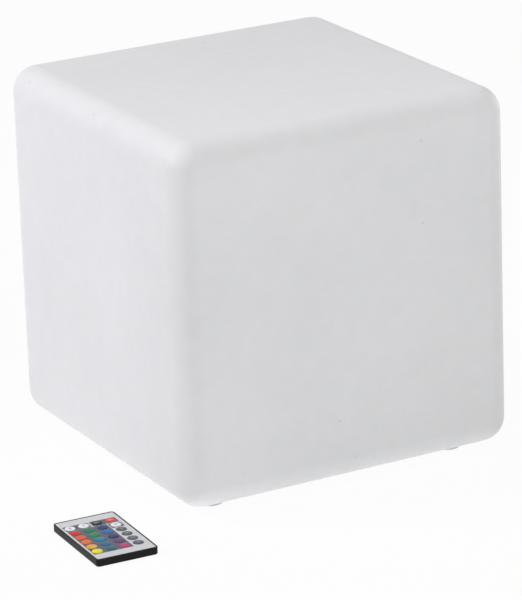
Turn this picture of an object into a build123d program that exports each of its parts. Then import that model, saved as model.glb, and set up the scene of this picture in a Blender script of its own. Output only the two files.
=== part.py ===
"""A garden light in the form of a glowing cube, with its card handset.

The cube is a hollow polyethylene moulding that stands on four moulded feet. A round light
module closes the opening in its underside: a housing with the cells, the control board, the
power button and the charging socket, and on top of it a ring of light chips under a frosted
dome. The handset is a flat case that lies beside the cube. It has twenty-four keys over snap
domes, and a drawer for its coin cell.

All sizes are in millimetres. The frame stands on the floor, with its origin under the
middle of the cube, +Z up and the face beside the handset towards -X.
"""

import os
from math import cos, radians, sin, sqrt

from build123d import *

# ---------------------------------------------------------------- cube shell
cube_side = 300.0
edge_radius = 21.5
shell_wall = 3.2
foot_height = 7.6
foot_diameter = 21.0
foot_pitch = 220.0
foot_rounding = 1.2

# ------------------------------------------------ screws, inserts and their holes
flange_screw_head = 8.0
flange_screw_head_height = 2.4
flange_screw_shank = 3.9
flange_screw_length = 10.0
flange_screw_play = 0.35
counterbore_play = 0.3
counterbore_sink = 0.2
small_screw_head = 5.6
small_screw_head_height = 2.0
small_screw_shank = 2.8
stack_screw_length = 18.0
light_screw_length = 8.0
small_screw_play = 0.3
pilot_play = 0.05
drive_depth = 1.2
drive_length_share = 0.55
drive_width_share = 0.13
screw_count = 6
insert_diameter = 5.6
insert_length = 8.0
insert_play = 0.1
insert_boss_wall = 2.7

# ---------------------------------------- opening, flange and seals of the module
opening_play = 1.9
collar_height = 6.0
flange_thickness = 5.0
flange_play = 0.8
flange_chamfer = 0.4
flange_margin = 6.5
screw_inset = 7.5
gasket_inset = 1.2
gasket_width = 2.4
gasket_thickness = 2.0
gasket_groove = 1.4
seal_width = 1.4
seal_thickness = 1.0

# ------------------------------------------------------------ module housing
cup_wall = 2.5
rim_height = 4.0
rim_wall = 1.4
dish_diameter = 84.0
dish_depth = 2.0
shoulder_drop = 12.0
shoulder_height = 2.0
post_inset = 4.0
post_diameter = 7.0
post_height = 15.0
pillar_diameter = 6.4
pillar_room = 2.5
pillar_inset = 3.3
pillar_count = 3
pillar_start = 90.0
pillar_slant = 30.0

# ------------------------------------------------- button, socket, light pipe
button_x = -20.0
button_diameter = 16.0
button_play = 0.3
button_proud = 1.4
button_rounding = 0.8
button_collar_thickness = 1.4
switch_side = 12.0
switch_corner = 0.8
switch_height = 3.5
switch_bore_depth = 3.0
plunger_diameter = 6.0
plunger_play = 0.2
plunger_overlap = 1.5
socket_x = 20.0
socket_body = 9.0
socket_body_height = 11.0
socket_nose = 9.0
socket_nose_recess = 0.6
socket_bore = 6.0
socket_bore_depth = 10.0
socket_pin = 2.0
socket_pin_recess = 1.0
nose_play = 0.3
plug_head_diameter = 16.0
plug_head_thickness = 1.7
plug_head_rounding = 0.4
plug_stem_length = 6.2
plug_stem_play = 0.1
plug_pin_play = 0.5
plug_tab_width = 7.0
plug_tab_reach = 6.0
plug_tab_corner = 2.0
plug_rib = 0.8
plug_rib_length = 4.9
plug_rib_depth = 0.4
pipe_y = -22.0
pipe_diameter = 3.0
pipe_play = 0.1
pipe_collar = 5.2
pipe_collar_thickness = 1.0
pipe_gap = 0.5

# ---------------------------------------------------- control board and cells
board_thickness = 1.6
control_side = 64.0
control_corner = 3.0
connector_inset = 5.0
connector_width = 7.0
connector_height = 4.5
indicator_height = 4.0
placement_grid = 1.0
cradle_lift = 6.0
cradle_plate = 2.0
cradle_end_thickness = 2.0
cradle_end_height = 14.0
cradle_rail_height = 8.0
cradle_rail_thickness = 2.0
cradle_rail_start = 12.0
cell_diameter = 18.4
cell_length = 65.2
cell_rounding = 1.0
cell_gap = 0.6
cell_play = 0.3
guard_play = 0.1
guard_thickness = 1.0
guard_height = 16.0
guard_inset = 2.0
strap_width = 12.0
strap_thickness = 1.0
strap_play = 0.2
strap_slot_play = 0.4
lead_diameter = 1.4
lead_spacing = 4.0
lead_run = 7.2
lead_bend = 3.0
lead_play = 1.0
lead_room = 9.2
light_lead_count = 4
light_lead_pitch = 2.0
light_lead_inset = 2.0
light_lead_shift = 9.0
light_lead_rise = 2.0
light_lead_slope = 10.0
light_lead_bend = 3.5

# ------------------------------------------------------ light board and dome
light_board_thickness = 1.6
light_board_play = 0.4
chip_side = 5.0
chip_height = 1.6
outer_chip_circle = 76.0
outer_chip_count = 12
inner_chip_circle = 44.0
inner_chip_count = 6
receiver_width = 6.0
receiver_depth = 4.0
receiver_height = 7.0
receiver_lift = 3.0
receiver_lens_radius = 2.2
receiver_lens_drop = 1.0
receiver_leg = 0.5
receiver_leg_pitch = 2.5
dome_wall = 1.8
dome_play = 0.3
dome_rise = 20.0

# ------------------------------------------------------------------- handset
handset_x = -218.5
handset_y = -139.7
handset_yaw = -2.6
key_diameter = 8.5
key_gap_x = 3.0
key_gap_y = 1.9
key_margin_x = 4.5
key_margin_y = 12.25
key_shift_x = -1.0
key_play = 0.2
key_proud = 0.3
key_crown = 0.25
key_skirt = 0.5
key_skirt_height = 0.45
key_nub_diameter = 2.8
key_nub_height = 0.15
dome_diameter = 7.4
dome_height = 0.4
dome_metal = 0.1
dome_foot = 0.3
case_height = 6.5
case_corner = 3.0
case_underside_rounding = 1.4
case_rim_rounding = 0.35
case_rim = 1.1
case_floor = 0.8
case_ledge = 1.1
face_thickness = 0.6
face_drop = 0.2
face_play = 0.1
face_chamfer = 0.15
card_thickness = 0.6
card_play = 0.3
card_post_inset_x = 11.0
card_post_inset_y = 12.5
card_post_diameter = 4.0
coin_diameter = 20.0
coin_thickness = 2.5
coin_cap_diameter = 17.0
coin_cap_height = 0.3
coin_play = 0.1
tray_side = 3.0
tray_length = 26.5
tray_corner = 0.4
tray_play = 0.2
tray_floor = 0.45
tray_floor_play = 0.15
tray_front = 3.0
tray_top_play = 0.15
tray_window = 14.0
tray_grip_width = 10.4
tray_grip_depth = 0.4
tray_grip_height = 1.0
contact_slot = 8.0
slot_overrun = 1.0
contact_width = 5.0
contact_metal = 0.3
contact_gap = 0.15
contact_lift = 0.2
guide_thickness = 1.2
emitter_diameter = 3.0
emitter_length = 5.7
emitter_play = 0.2
emitter_proud = 1.2
emitter_drop = 0.1
emitter_lead = 0.5
emitter_lead_pitch = 1.5
emitter_lead_run = 2.0

key_names = [
    ["brighter", "dimmer", "off", "on"],
    ["red", "green", "navy", "white"],
    ["vermilion", "emerald", "blue", "flash"],
    ["orange", "teal", "indigo", "strobe"],
    ["amber", "petrol", "violet", "fade"],
    ["yellow", "lagoon", "pink", "smooth"],
]

# ------------------------------------------------------ heights above the floor
shell_bottom = foot_height
shell_middle = shell_bottom + cube_side / 2
flange_top = shell_bottom + flange_thickness
seat_bottom = flange_top + gasket_thickness - gasket_groove
seat_top = seat_bottom + shell_wall
boss_top = seat_bottom + insert_length + insert_boss_wall
head_seat = shell_bottom + counterbore_sink + flange_screw_head_height
dish_ceiling = shell_bottom + dish_depth
button_collar_bottom = flange_top + seal_thickness
button_collar_top = button_collar_bottom + button_collar_thickness
control_bottom = flange_top + post_height
control_top = control_bottom + board_thickness
cradle_bottom = control_top + cradle_lift
cradle_top = cradle_bottom + cradle_plate
cell_middle = cradle_top + cell_diameter / 2
strap_low = cradle_bottom - strap_play
strap_high = cradle_top + cell_diameter + strap_play
light_board_bottom = strap_high + strap_thickness + lead_room
light_board_top = light_board_bottom + light_board_thickness
cup_top = light_board_bottom + rim_height
dome_bottom = cup_top - shoulder_drop

face_top = case_height - face_drop
face_bottom = face_top - face_thickness
skirt_bottom = face_bottom - key_skirt_height
nub_bottom = skirt_bottom - key_nub_height
card_top = nub_bottom - dome_height
card_bottom = card_top - card_thickness
tray_bottom = case_floor + tray_floor_play
coin_bottom = tray_bottom + tray_floor
coin_top = coin_bottom + coin_thickness
emitter_z = card_bottom - emitter_diameter / 2 - emitter_drop

# ------------------------------------------------- positions along and across
cell_y = (cell_diameter + cell_gap) / 2
cell_side_y = cell_y + cell_diameter / 2
guard_x = cell_length / 2 + guard_play
guard_end_x = guard_x + guard_thickness
cradle_end_x = guard_end_x + cell_play
cradle_length = 2 * (cradle_end_x + cradle_end_thickness)
connector_x = control_side / 2 - connector_inset
post_spacing = control_side - 2 * post_inset
light_lead_y = light_lead_inset - control_side / 2

# ------------------------------------------------- radii, from the cells outwards
pillar_x = cradle_length / 2 + pillar_room + pillar_diameter / 2
pillar_radius = pillar_x / cos(radians(pillar_slant))
cup_inner_radius = pillar_radius + pillar_inset
cup_radius = cup_inner_radius + cup_wall
rim_inner_radius = cup_radius - rim_wall
dome_inner_radius = cup_radius + dome_play
dome_outer_radius = dome_inner_radius + dome_wall
opening_radius = dome_outer_radius + opening_play
gasket_radius = opening_radius + gasket_inset
screw_circle_radius = opening_radius + screw_inset
flange_radius = screw_circle_radius + flange_margin
recess_radius = flange_radius + flange_play
seal_inner_radius = button_diameter / 2 + button_play
button_collar_radius = seal_inner_radius + seal_width

# ------------------------------------------------------------ handset's outline
key_radius = key_diameter / 2
key_pitch_x = key_diameter + key_gap_x
key_pitch_y = key_diameter + key_gap_y
case_width = (len(key_names[0]) - 1) * key_pitch_x + key_diameter + 2 * key_margin_x
case_length = (len(key_names) - 1) * key_pitch_y + key_diameter + 2 * key_margin_y
hollow_corner = case_corner - case_rim - case_ledge / 2
tray_width = coin_diameter + 2 * tray_side
coin_y = tray_front + coin_diameter / 2 + coin_play - case_length / 2
tray_inner_y = tray_length - case_length / 2

handset = Plane.XY.offset(0).move(Location((handset_x, handset_y, 0), (0, 0, handset_yaw)))


# ---------------------------------------------------------------------- helpers
def write_part(piece, name):
    """Labels a finished piece and writes it to its own file."""
    piece.part.label = name
    export_step(piece.part, f"parts/{name}.step")


def level(height):
    """The horizontal plane at a height above the floor."""
    return Plane.XY.offset(height)


def handset_level(height, x=0.0, y=0.0):
    """The horizontal plane at a height in the handset, with its origin at x, y there."""
    return Plane(
        origin=handset.from_local_coords((x, y, height)),
        x_dir=handset.x_dir,
        z_dir=handset.z_dir,
    )


def upright(plane):
    """The vertical plane through a plane's origin: its x stays, and its y points up."""
    return Plane(origin=plane.origin, x_dir=plane.x_dir, z_dir=-plane.y_dir)


def circle_places(radius, count, start=0.0):
    """Points spread evenly on a circle about the origin."""
    step = 360 / count
    turns = [radians(start + step * number) for number in range(count)]
    return [(radius * cos(turn), radius * sin(turn)) for turn in turns]


def corner_places(spacing):
    """The four corners of a square about the origin."""
    half = spacing / 2
    return [(x, y) for x in (-half, half) for y in (-half, half)]


def key_place(column, row):
    """The middle of a key in the handset's own x and y, with row 0 at the far end."""
    columns, rows = len(key_names[0]), len(key_names)
    x = (column - (columns - 1) / 2) * key_pitch_x + key_shift_x
    y = ((rows - 1) / 2 - row) * key_pitch_y
    return x, y


def all_key_places():
    """The middles of all the keys."""
    rows, columns = range(len(key_names)), range(len(key_names[0]))
    return [key_place(column, row) for row in rows for column in columns]


def cap_height(radius, reach, rise):
    """The height, at a radius, of a ball's cap that has a given reach and rise."""
    ball = (reach**2 + rise**2) / (2 * rise)
    return rise - ball + sqrt(ball**2 - radius**2)


def pan_head_screws(under_head, places, head_diameter, head_height, shank_diameter, length):
    """Screws whose heads sit on the plane under_head and whose shanks run along its z."""
    head_end = under_head.offset(-head_height)
    drive_length = head_diameter * drive_length_share
    drive_width = head_diameter * drive_width_share
    with BuildPart() as screws:
        with BuildSketch(head_end):
            with Locations(*places):
                Circle(head_diameter / 2)
        extrude(amount=head_height)
        rims = screws.edges().filter_by(
            lambda edge: abs(head_end.to_local_coords(edge.center()).Z) < 1e-6
        )
        fillet(rims, head_height / 3)
        with BuildSketch(head_end):
            with Locations(*places):
                Rectangle(drive_length, drive_width)
                Rectangle(drive_width, drive_length)
        extrude(amount=drive_depth, mode=Mode.SUBTRACT)
        with BuildSketch(under_head):
            with Locations(*places):
                Circle(shank_diameter / 2)
        extrude(amount=length)
    return screws


def small_screws(under_head, places, length):
    """The screws that hold the boards and the cradle, which differ only in length."""
    sizes = small_screw_head, small_screw_head_height, small_screw_shank, length
    return pan_head_screws(under_head, places, *sizes)


# ------------------------------------------------------------------- the shell
def make_shell():
    """The rotomoulded cube with its feet, and the stepped opening for the module."""
    cavity_side = cube_side - 2 * shell_wall
    with BuildPart() as cavity:
        with Locations((0, 0, shell_middle)):
            Box(cavity_side, cavity_side, cavity_side)
        fillet(cavity.edges(), edge_radius - shell_wall)

    screw_places = circle_places(screw_circle_radius, screw_count)
    foot_places = corner_places(foot_pitch)
    with BuildPart() as shell:
        with Locations((0, 0, shell_middle)):
            Box(cube_side, cube_side, cube_side)
        fillet(shell.edges(), edge_radius)
        add(cavity.part, mode=Mode.SUBTRACT)
        with BuildSketch(level(0)):
            with Locations(*foot_places):
                Circle(foot_diameter / 2)
        extrude(amount=foot_height + shell_wall)
        fillet(shell.edges().group_by(Axis.Z)[0], foot_rounding)
        with BuildSketch(level(shell_wall)):
            with Locations(*foot_places):
                Circle(foot_diameter / 2 - shell_wall)
        extrude(amount=foot_height, mode=Mode.SUBTRACT)
        with BuildSketch(level(shell_bottom)):
            Circle(recess_radius + shell_wall)
        extrude(amount=seat_top - shell_bottom)
        with BuildSketch(level(seat_top)):
            Circle(opening_radius + shell_wall)
        extrude(amount=collar_height)
        with BuildSketch(level(seat_top)):
            with Locations(*screw_places):
                Circle(insert_diameter / 2 + insert_boss_wall)
        extrude(amount=boss_top - seat_top)
        with BuildSketch(level(shell_bottom)):
            Circle(recess_radius)
        extrude(amount=seat_bottom - shell_bottom, mode=Mode.SUBTRACT)
        with BuildSketch(level(shell_bottom)):
            Circle(opening_radius)
        extrude(amount=cube_side / 2, mode=Mode.SUBTRACT)
        with BuildSketch(level(seat_bottom)):
            with Locations(*screw_places):
                Circle(insert_diameter / 2)
        extrude(amount=insert_length, mode=Mode.SUBTRACT)
    write_part(shell, "shell")

    with BuildPart() as inserts:
        with BuildSketch(level(seat_bottom)):
            with Locations(*screw_places):
                Circle(insert_diameter / 2)
                Circle(flange_screw_shank / 2 + insert_play, mode=Mode.SUBTRACT)
        extrude(amount=insert_length)
    write_part(inserts, "insert_nuts")

    screws = pan_head_screws(
        level(head_seat),
        screw_places,
        flange_screw_head,
        flange_screw_head_height,
        flange_screw_shank,
        flange_screw_length,
    )
    write_part(screws, "base_screws")


# ------------------------------------------------------------ the module housing
def make_housing():
    """The round flange that closes the cube, with the cup that holds the works."""
    pillar_places = circle_places(pillar_radius, pillar_count, pillar_start)
    screw_places = circle_places(screw_circle_radius, screw_count)
    with BuildPart() as housing:
        with BuildSketch(level(shell_bottom)):
            Circle(flange_radius)
        extrude(amount=flange_thickness)
        chamfer(housing.edges().group_by(Axis.Z)[0], flange_chamfer)
        with BuildSketch(level(flange_top)):
            Circle(cup_radius)
            Circle(cup_inner_radius, mode=Mode.SUBTRACT)
        extrude(amount=cup_top - flange_top)
        with BuildSketch(level(dome_bottom - shoulder_height)):
            Circle(dome_outer_radius)
            Circle(cup_inner_radius, mode=Mode.SUBTRACT)
        extrude(amount=shoulder_height)
        with BuildSketch(level(flange_top)):
            with Locations(*pillar_places):
                Circle(pillar_diameter / 2)
            Circle(cup_radius, mode=Mode.INTERSECT)
        extrude(amount=light_board_bottom - flange_top)
        with BuildSketch(level(flange_top)):
            with Locations(*corner_places(post_spacing)):
                Circle(post_diameter / 2)
        extrude(amount=post_height)
        with BuildSketch(level(light_board_bottom)):
            Circle(rim_inner_radius)
        extrude(amount=rim_height, mode=Mode.SUBTRACT)
        # the shallow dish in the underside keeps the button and the plug off the floor
        with BuildSketch(level(shell_bottom)):
            Circle(dish_diameter / 2)
        extrude(amount=dish_depth, mode=Mode.SUBTRACT)
        with BuildSketch(level(shell_bottom)):
            with Locations(*screw_places):
                Circle(flange_screw_head / 2 + counterbore_play)
        extrude(amount=head_seat - shell_bottom, mode=Mode.SUBTRACT)
        with BuildSketch(level(shell_bottom)):
            with Locations(*screw_places):
                Circle(flange_screw_shank / 2 + flange_screw_play)
            with Locations((button_x, 0)):
                Circle(seal_inner_radius)
            with Locations((socket_x, 0)):
                Circle(socket_nose / 2 + nose_play)
            with Locations((0, pipe_y)):
                Circle(pipe_diameter / 2 + pipe_play)
        extrude(amount=flange_thickness, mode=Mode.SUBTRACT)
        with BuildSketch(level(flange_top)):
            Circle(gasket_radius + gasket_width)
            Circle(gasket_radius, mode=Mode.SUBTRACT)
        extrude(amount=-gasket_groove, mode=Mode.SUBTRACT)
        with BuildSketch(level(control_bottom)):
            with Locations(*corner_places(post_spacing)):
                Circle(small_screw_shank / 2 + pilot_play)
        extrude(amount=-stack_screw_length / 2, mode=Mode.SUBTRACT)
        with BuildSketch(level(light_board_bottom)):
            with Locations(*pillar_places):
                Circle(small_screw_shank / 2 + pilot_play)
        extrude(amount=-light_screw_length, mode=Mode.SUBTRACT)
    write_part(housing, "module_housing")

    with BuildPart() as gasket:
        with BuildSketch(level(flange_top - gasket_groove)):
            Circle(gasket_radius + gasket_width)
            Circle(gasket_radius, mode=Mode.SUBTRACT)
        extrude(amount=gasket_thickness)
    write_part(gasket, "base_gasket")


# --------------------------------------------------- button, switch and indicator
def make_button():
    """The push button in the underside, its seal, and the switch that it works."""
    with BuildPart() as button:
        with BuildSketch(level(dish_ceiling - button_proud)):
            with Locations((button_x, 0)):
                Circle(button_diameter / 2)
        extrude(amount=button_collar_bottom - dish_ceiling + button_proud)
        fillet(button.edges().group_by(Axis.Z)[0], button_rounding)
        with BuildSketch(level(button_collar_bottom)):
            with Locations((button_x, 0)):
                Circle(button_collar_radius)
        extrude(amount=button_collar_thickness)
    write_part(button, "power_button")

    with BuildPart() as seal:
        with BuildSketch(level(flange_top)):
            with Locations((button_x, 0)):
                Circle(button_collar_radius)
                Circle(seal_inner_radius, mode=Mode.SUBTRACT)
        extrude(amount=seal_thickness)
    write_part(seal, "button_seal")

    switch_bottom = control_bottom - switch_height
    with BuildPart() as switch:
        with BuildSketch(level(switch_bottom)):
            with Locations((button_x, 0)):
                RectangleRounded(switch_side, switch_side, switch_corner)
        extrude(amount=switch_height)
        with BuildSketch(level(switch_bottom)):
            with Locations((button_x, 0)):
                Circle(plunger_diameter / 2 + plunger_play)
        extrude(amount=switch_bore_depth, mode=Mode.SUBTRACT)
    write_part(switch, "power_switch")

    with BuildPart() as plunger:
        with BuildSketch(level(button_collar_top)):
            with Locations((button_x, 0)):
                Circle(plunger_diameter / 2)
        extrude(amount=switch_bottom + plunger_overlap - button_collar_top)
    write_part(plunger, "switch_plunger")

    with BuildPart() as pipe:
        with BuildSketch(level(dish_ceiling)):
            with Locations((0, pipe_y)):
                Circle(pipe_diameter / 2)
        extrude(amount=control_bottom - indicator_height - pipe_gap - dish_ceiling)
        with BuildSketch(level(flange_top)):
            with Locations((0, pipe_y)):
                Circle(pipe_collar / 2)
        extrude(amount=pipe_collar_thickness)
    write_part(pipe, "light_pipe")


# --------------------------------------------------------- socket and its stopper
def make_socket():
    """The charging socket on the control board, and the rubber stopper in it."""
    nose_bottom = dish_ceiling + socket_nose_recess
    body_bottom = control_bottom - socket_body_height
    with BuildPart() as socket:
        with BuildSketch(level(body_bottom)):
            with Locations((socket_x, 0)):
                Rectangle(socket_body, socket_body)
        extrude(amount=socket_body_height)
        with BuildSketch(level(nose_bottom)):
            with Locations((socket_x, 0)):
                Circle(socket_nose / 2)
        extrude(amount=body_bottom - nose_bottom)
        with BuildSketch(level(nose_bottom)):
            with Locations((socket_x, 0)):
                Circle(socket_bore / 2)
        extrude(amount=socket_bore_depth, mode=Mode.SUBTRACT)
        with BuildSketch(level(nose_bottom + socket_pin_recess)):
            with Locations((socket_x, 0)):
                Circle(socket_pin / 2)
        extrude(amount=socket_bore_depth - socket_pin_recess)
    write_part(socket, "charge_socket")

    head_bottom = dish_ceiling - plug_head_thickness
    tab_middle = socket_x + (plug_head_diameter / 2 + plug_tab_reach) / 2
    with BuildPart() as stopper:
        with BuildSketch(level(head_bottom)):
            with Locations((socket_x, 0)):
                Circle(plug_head_diameter / 2)
            with Locations((tab_middle, 0)):
                RectangleRounded(
                    plug_head_diameter / 2 + plug_tab_reach, plug_tab_width, plug_tab_corner
                )
        extrude(amount=plug_head_thickness)
        fillet(stopper.edges().group_by(Axis.Z)[0], plug_head_rounding)
        rib_x = socket_x + plug_head_diameter / 2 + plug_tab_reach / 2
        with BuildSketch(level(head_bottom)):
            with Locations((rib_x - plug_rib, 0), (rib_x + plug_rib, 0)):
                Rectangle(plug_rib, plug_rib_length)
        extrude(amount=plug_rib_depth, mode=Mode.SUBTRACT)
        with BuildSketch(level(dish_ceiling)):
            with Locations((socket_x, 0)):
                Circle(socket_bore / 2 - plug_stem_play)
                Circle(socket_pin / 2 + plug_pin_play, mode=Mode.SUBTRACT)
        extrude(amount=plug_stem_length)
    write_part(stopper, "port_plug")


# ------------------------------------------------------- control board and cells
def make_power_stack():
    """The control board on its posts, and the two cells in their cradle above it."""
    post_places = corner_places(post_spacing)
    with BuildPart() as control:
        with BuildSketch(level(control_bottom)):
            RectangleRounded(control_side, control_side, control_corner)
            with Locations(*post_places):
                Circle(small_screw_shank / 2 + small_screw_play, mode=Mode.SUBTRACT)
        extrude(amount=board_thickness)
    write_part(control, "control_board")

    # (x, y, length, width, height) of each block component, in steps of the placement grid
    above = [(4, 12, 7, 7, 1.6), (-12, 14, 5, 4, 1.5), (-14, -12, 8, 6, 2.0), (12, -14, 4, 3, 1.2)]
    below = [(0, 18, 10, 6, 1.8), (2, 4, 6, 5, 1.5), (14, -20, 5, 3, 1.4), (-16, 20, 4, 3, 1.2)]
    coil_x, coil_y, coil_radius, coil_height = -6, -2, 5, 4
    with BuildPart() as components:
        for rows, plane, way in [(above, level(control_top), 1), (below, level(control_bottom), -1)]:
            for row in rows:
                x, y, length, width, height = [steps * placement_grid for steps in row]
                with BuildSketch(plane):
                    with Locations((x, y)):
                        Rectangle(length, width)
                extrude(amount=way * height)
        with BuildSketch(level(control_top)):
            with Locations((coil_x * placement_grid, coil_y * placement_grid)):
                Circle(coil_radius * placement_grid)
        extrude(amount=coil_height * placement_grid)
        with BuildSketch(level(control_top)):
            with Locations((connector_x, 0)):
                Rectangle(connector_width, 2 * lead_spacing)
        extrude(amount=connector_height)
        with BuildSketch(level(control_bottom)):
            with Locations((0, pipe_y)):
                Circle(pipe_diameter / 2)
        extrude(amount=-indicator_height)
    write_part(components, "control_parts")

    rail_y = cell_side_y + cell_play + cradle_rail_thickness / 2
    end_x = cradle_end_x + cradle_end_thickness / 2
    rail_length = cradle_end_x - cradle_rail_start
    rail_x = cradle_rail_start + rail_length / 2
    slot_y = cell_side_y + strap_play + strap_thickness / 2
    slot_width = strap_thickness + 2 * strap_slot_play
    with BuildPart() as cradle:
        with BuildSketch(level(control_top)):
            with Locations(*post_places):
                Circle(post_diameter / 2)
        extrude(amount=cradle_lift)
        with BuildSketch(level(cradle_bottom)):
            RectangleRounded(cradle_length, control_side, control_corner)
            with Locations((0, slot_y), (0, -slot_y)):
                Rectangle(strap_width + 2 * strap_slot_play, slot_width, mode=Mode.SUBTRACT)
        extrude(amount=cradle_plate)
        with BuildSketch(level(cradle_top)):
            with Locations((end_x, 0), (-end_x, 0)):
                Rectangle(cradle_end_thickness, 2 * cell_side_y)
        extrude(amount=cradle_end_height)
        with BuildSketch(level(cradle_top)):
            with Locations(*[(sx * rail_x, sy * rail_y) for sx in (-1, 1) for sy in (-1, 1)]):
                Rectangle(rail_length, cradle_rail_thickness)
        extrude(amount=cradle_rail_height)
        # notch in one end for the leads
        with BuildSketch(level(cell_middle - lead_diameter / 2 - lead_play)):
            with Locations((end_x, 0)):
                Rectangle(2 * cradle_end_thickness, lead_spacing + lead_diameter + 2 * lead_play)
        extrude(amount=cradle_end_height, mode=Mode.SUBTRACT)
        with BuildSketch(level(control_top)):
            with Locations(*post_places):
                Circle(small_screw_shank / 2 + small_screw_play)
        extrude(amount=cradle_lift + cradle_plate, mode=Mode.SUBTRACT)
    write_part(cradle, "battery_cradle")

    across = Plane(origin=(-cell_length / 2, 0, cell_middle), x_dir=(0, 1, 0), z_dir=(1, 0, 0))
    with BuildPart() as cells:
        with BuildSketch(across):
            with Locations((-cell_y, 0), (cell_y, 0)):
                Circle(cell_diameter / 2)
        extrude(amount=cell_length)
        fillet(cells.edges().filter_by(GeomType.CIRCLE), cell_rounding)
    write_part(cells, "battery_cells")

    guard_width = 2 * (cell_side_y - guard_inset)
    with BuildPart() as guard:
        with Locations((guard_x + guard_thickness / 2, 0, cell_middle)):
            Box(guard_thickness, guard_width, guard_height)
    write_part(guard, "protection_board")

    strap_half = cell_side_y + strap_play
    section = Plane(
        origin=(-strap_width / 2, 0, (strap_low + strap_high) / 2), x_dir=(0, 1, 0), z_dir=(1, 0, 0)
    )
    with BuildPart() as strap:
        with BuildSketch(section):
            RectangleRounded(
                2 * (strap_half + strap_thickness),
                strap_high - strap_low + 2 * strap_thickness,
                strap_thickness + strap_play,
            )
            RectangleRounded(2 * strap_half, strap_high - strap_low, strap_play, mode=Mode.SUBTRACT)
        extrude(amount=strap_width)
    write_part(strap, "battery_strap")

    screws_down = Plane(origin=(0, 0, cradle_top), x_dir=(1, 0, 0), z_dir=(0, 0, -1))
    write_part(small_screws(screws_down, post_places, stack_screw_length), "stack_screws")


def make_leads():
    """The wires inside the housing: two from the cells, four up to the light board."""
    plug_x = connector_x + connector_width / 2
    plug_z = control_top + connector_height / 2
    turn_x = guard_end_x + lead_run
    with BuildPart() as battery_leads:
        for y in (-lead_spacing / 2, lead_spacing / 2):
            with BuildLine() as route:
                FilletPolyline(
                    (guard_end_x, y, cell_middle),
                    (turn_x, y, cell_middle),
                    (turn_x, y, plug_z),
                    (plug_x, y, plug_z),
                    radius=lead_bend,
                )
            start = Plane(origin=route.line @ 0, z_dir=route.line % 0)
            with BuildSketch(start):
                Circle(lead_diameter / 2)
            sweep(path=route.line)
    write_part(battery_leads, "battery_leads")

    turn_z = control_top + light_lead_rise
    upper_y = light_lead_y - light_lead_shift
    with BuildPart() as light_leads:
        for number in range(light_lead_count):
            x = (number - (light_lead_count - 1) / 2) * light_lead_pitch
            with BuildLine() as route:
                FilletPolyline(
                    (x, light_lead_y, control_top),
                    (x, light_lead_y, turn_z),
                    (x, upper_y, turn_z + light_lead_slope),
                    (x, upper_y, light_board_bottom),
                    radius=light_lead_bend,
                )
            with BuildSketch(level(control_top)):
                with Locations((x, light_lead_y)):
                    Circle(lead_diameter / 2)
            sweep(path=route.line)
    write_part(light_leads, "light_leads")


# ------------------------------------------------------- light board and its dome
def make_light_engine():
    """The round board with its chips and receiver, and the frosted dome over them."""
    pillar_places = circle_places(pillar_radius, pillar_count, pillar_start)
    with BuildPart() as board:
        with BuildSketch(level(light_board_bottom)):
            Circle(rim_inner_radius - light_board_play)
            with Locations(*pillar_places):
                Circle(small_screw_shank / 2 + small_screw_play, mode=Mode.SUBTRACT)
        extrude(amount=light_board_thickness)
    write_part(board, "led_board")

    rings = [(outer_chip_circle, outer_chip_count), (inner_chip_circle, inner_chip_count)]
    with BuildPart() as chips:
        for circle, count in rings:
            with BuildSketch(level(light_board_top)):
                with PolarLocations(circle / 2, count, start_angle=180 / count):
                    Rectangle(chip_side, chip_side)
            extrude(amount=chip_height)
    write_part(chips, "led_chips")

    with BuildPart() as receiver:
        with BuildSketch(level(light_board_top + receiver_lift)):
            Rectangle(receiver_width, receiver_depth)
        extrude(amount=receiver_height)
        with BuildSketch(level(light_board_top + receiver_lift)):
            with Locations((0, -receiver_depth / 2)):
                Circle(receiver_lens_radius)
        extrude(amount=receiver_height - receiver_lens_drop)
        with BuildSketch(level(light_board_top)):
            with GridLocations(receiver_leg_pitch, 1, 3, 1):
                Rectangle(receiver_leg, receiver_leg)
        extrude(amount=receiver_lift)
    write_part(receiver, "ir_receiver")

    screws_down = Plane(origin=(0, 0, light_board_top), x_dir=(1, 0, 0), z_dir=(0, 0, -1))
    mirrored = [(x, -y) for x, y in pillar_places]
    write_part(small_screws(screws_down, mirrored, light_screw_length), "board_screws")

    # the cap is a piece of a sphere through the top of the skirt and the apex
    skirt_top = cup_top + dome_wall
    sphere_radius = (dome_outer_radius**2 + dome_rise**2) / (2 * dome_rise)
    centre_z = skirt_top + dome_rise - sphere_radius

    def on_cap(radius, sphere):
        """The point of the cap's section at a radius from the axis."""
        return radius, centre_z + sqrt(sphere**2 - radius**2)

    inner_sphere = sphere_radius - dome_wall
    with BuildPart() as dome:
        with BuildSketch(Plane.XZ):
            with BuildLine():
                Polyline(
                    on_cap(dome_inner_radius, inner_sphere),
                    (dome_inner_radius, dome_bottom),
                    (dome_outer_radius, dome_bottom),
                    (dome_outer_radius, skirt_top),
                )
                ThreePointArc(
                    (dome_outer_radius, skirt_top),
                    on_cap(dome_outer_radius / 2, sphere_radius),
                    on_cap(0, sphere_radius),
                )
                Line(on_cap(0, sphere_radius), on_cap(0, inner_sphere))
                ThreePointArc(
                    on_cap(0, inner_sphere),
                    on_cap(dome_inner_radius / 2, inner_sphere),
                    on_cap(dome_inner_radius, inner_sphere),
                )
            make_face()
        revolve(axis=Axis.Z)
    write_part(dome, "led_dome")


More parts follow.
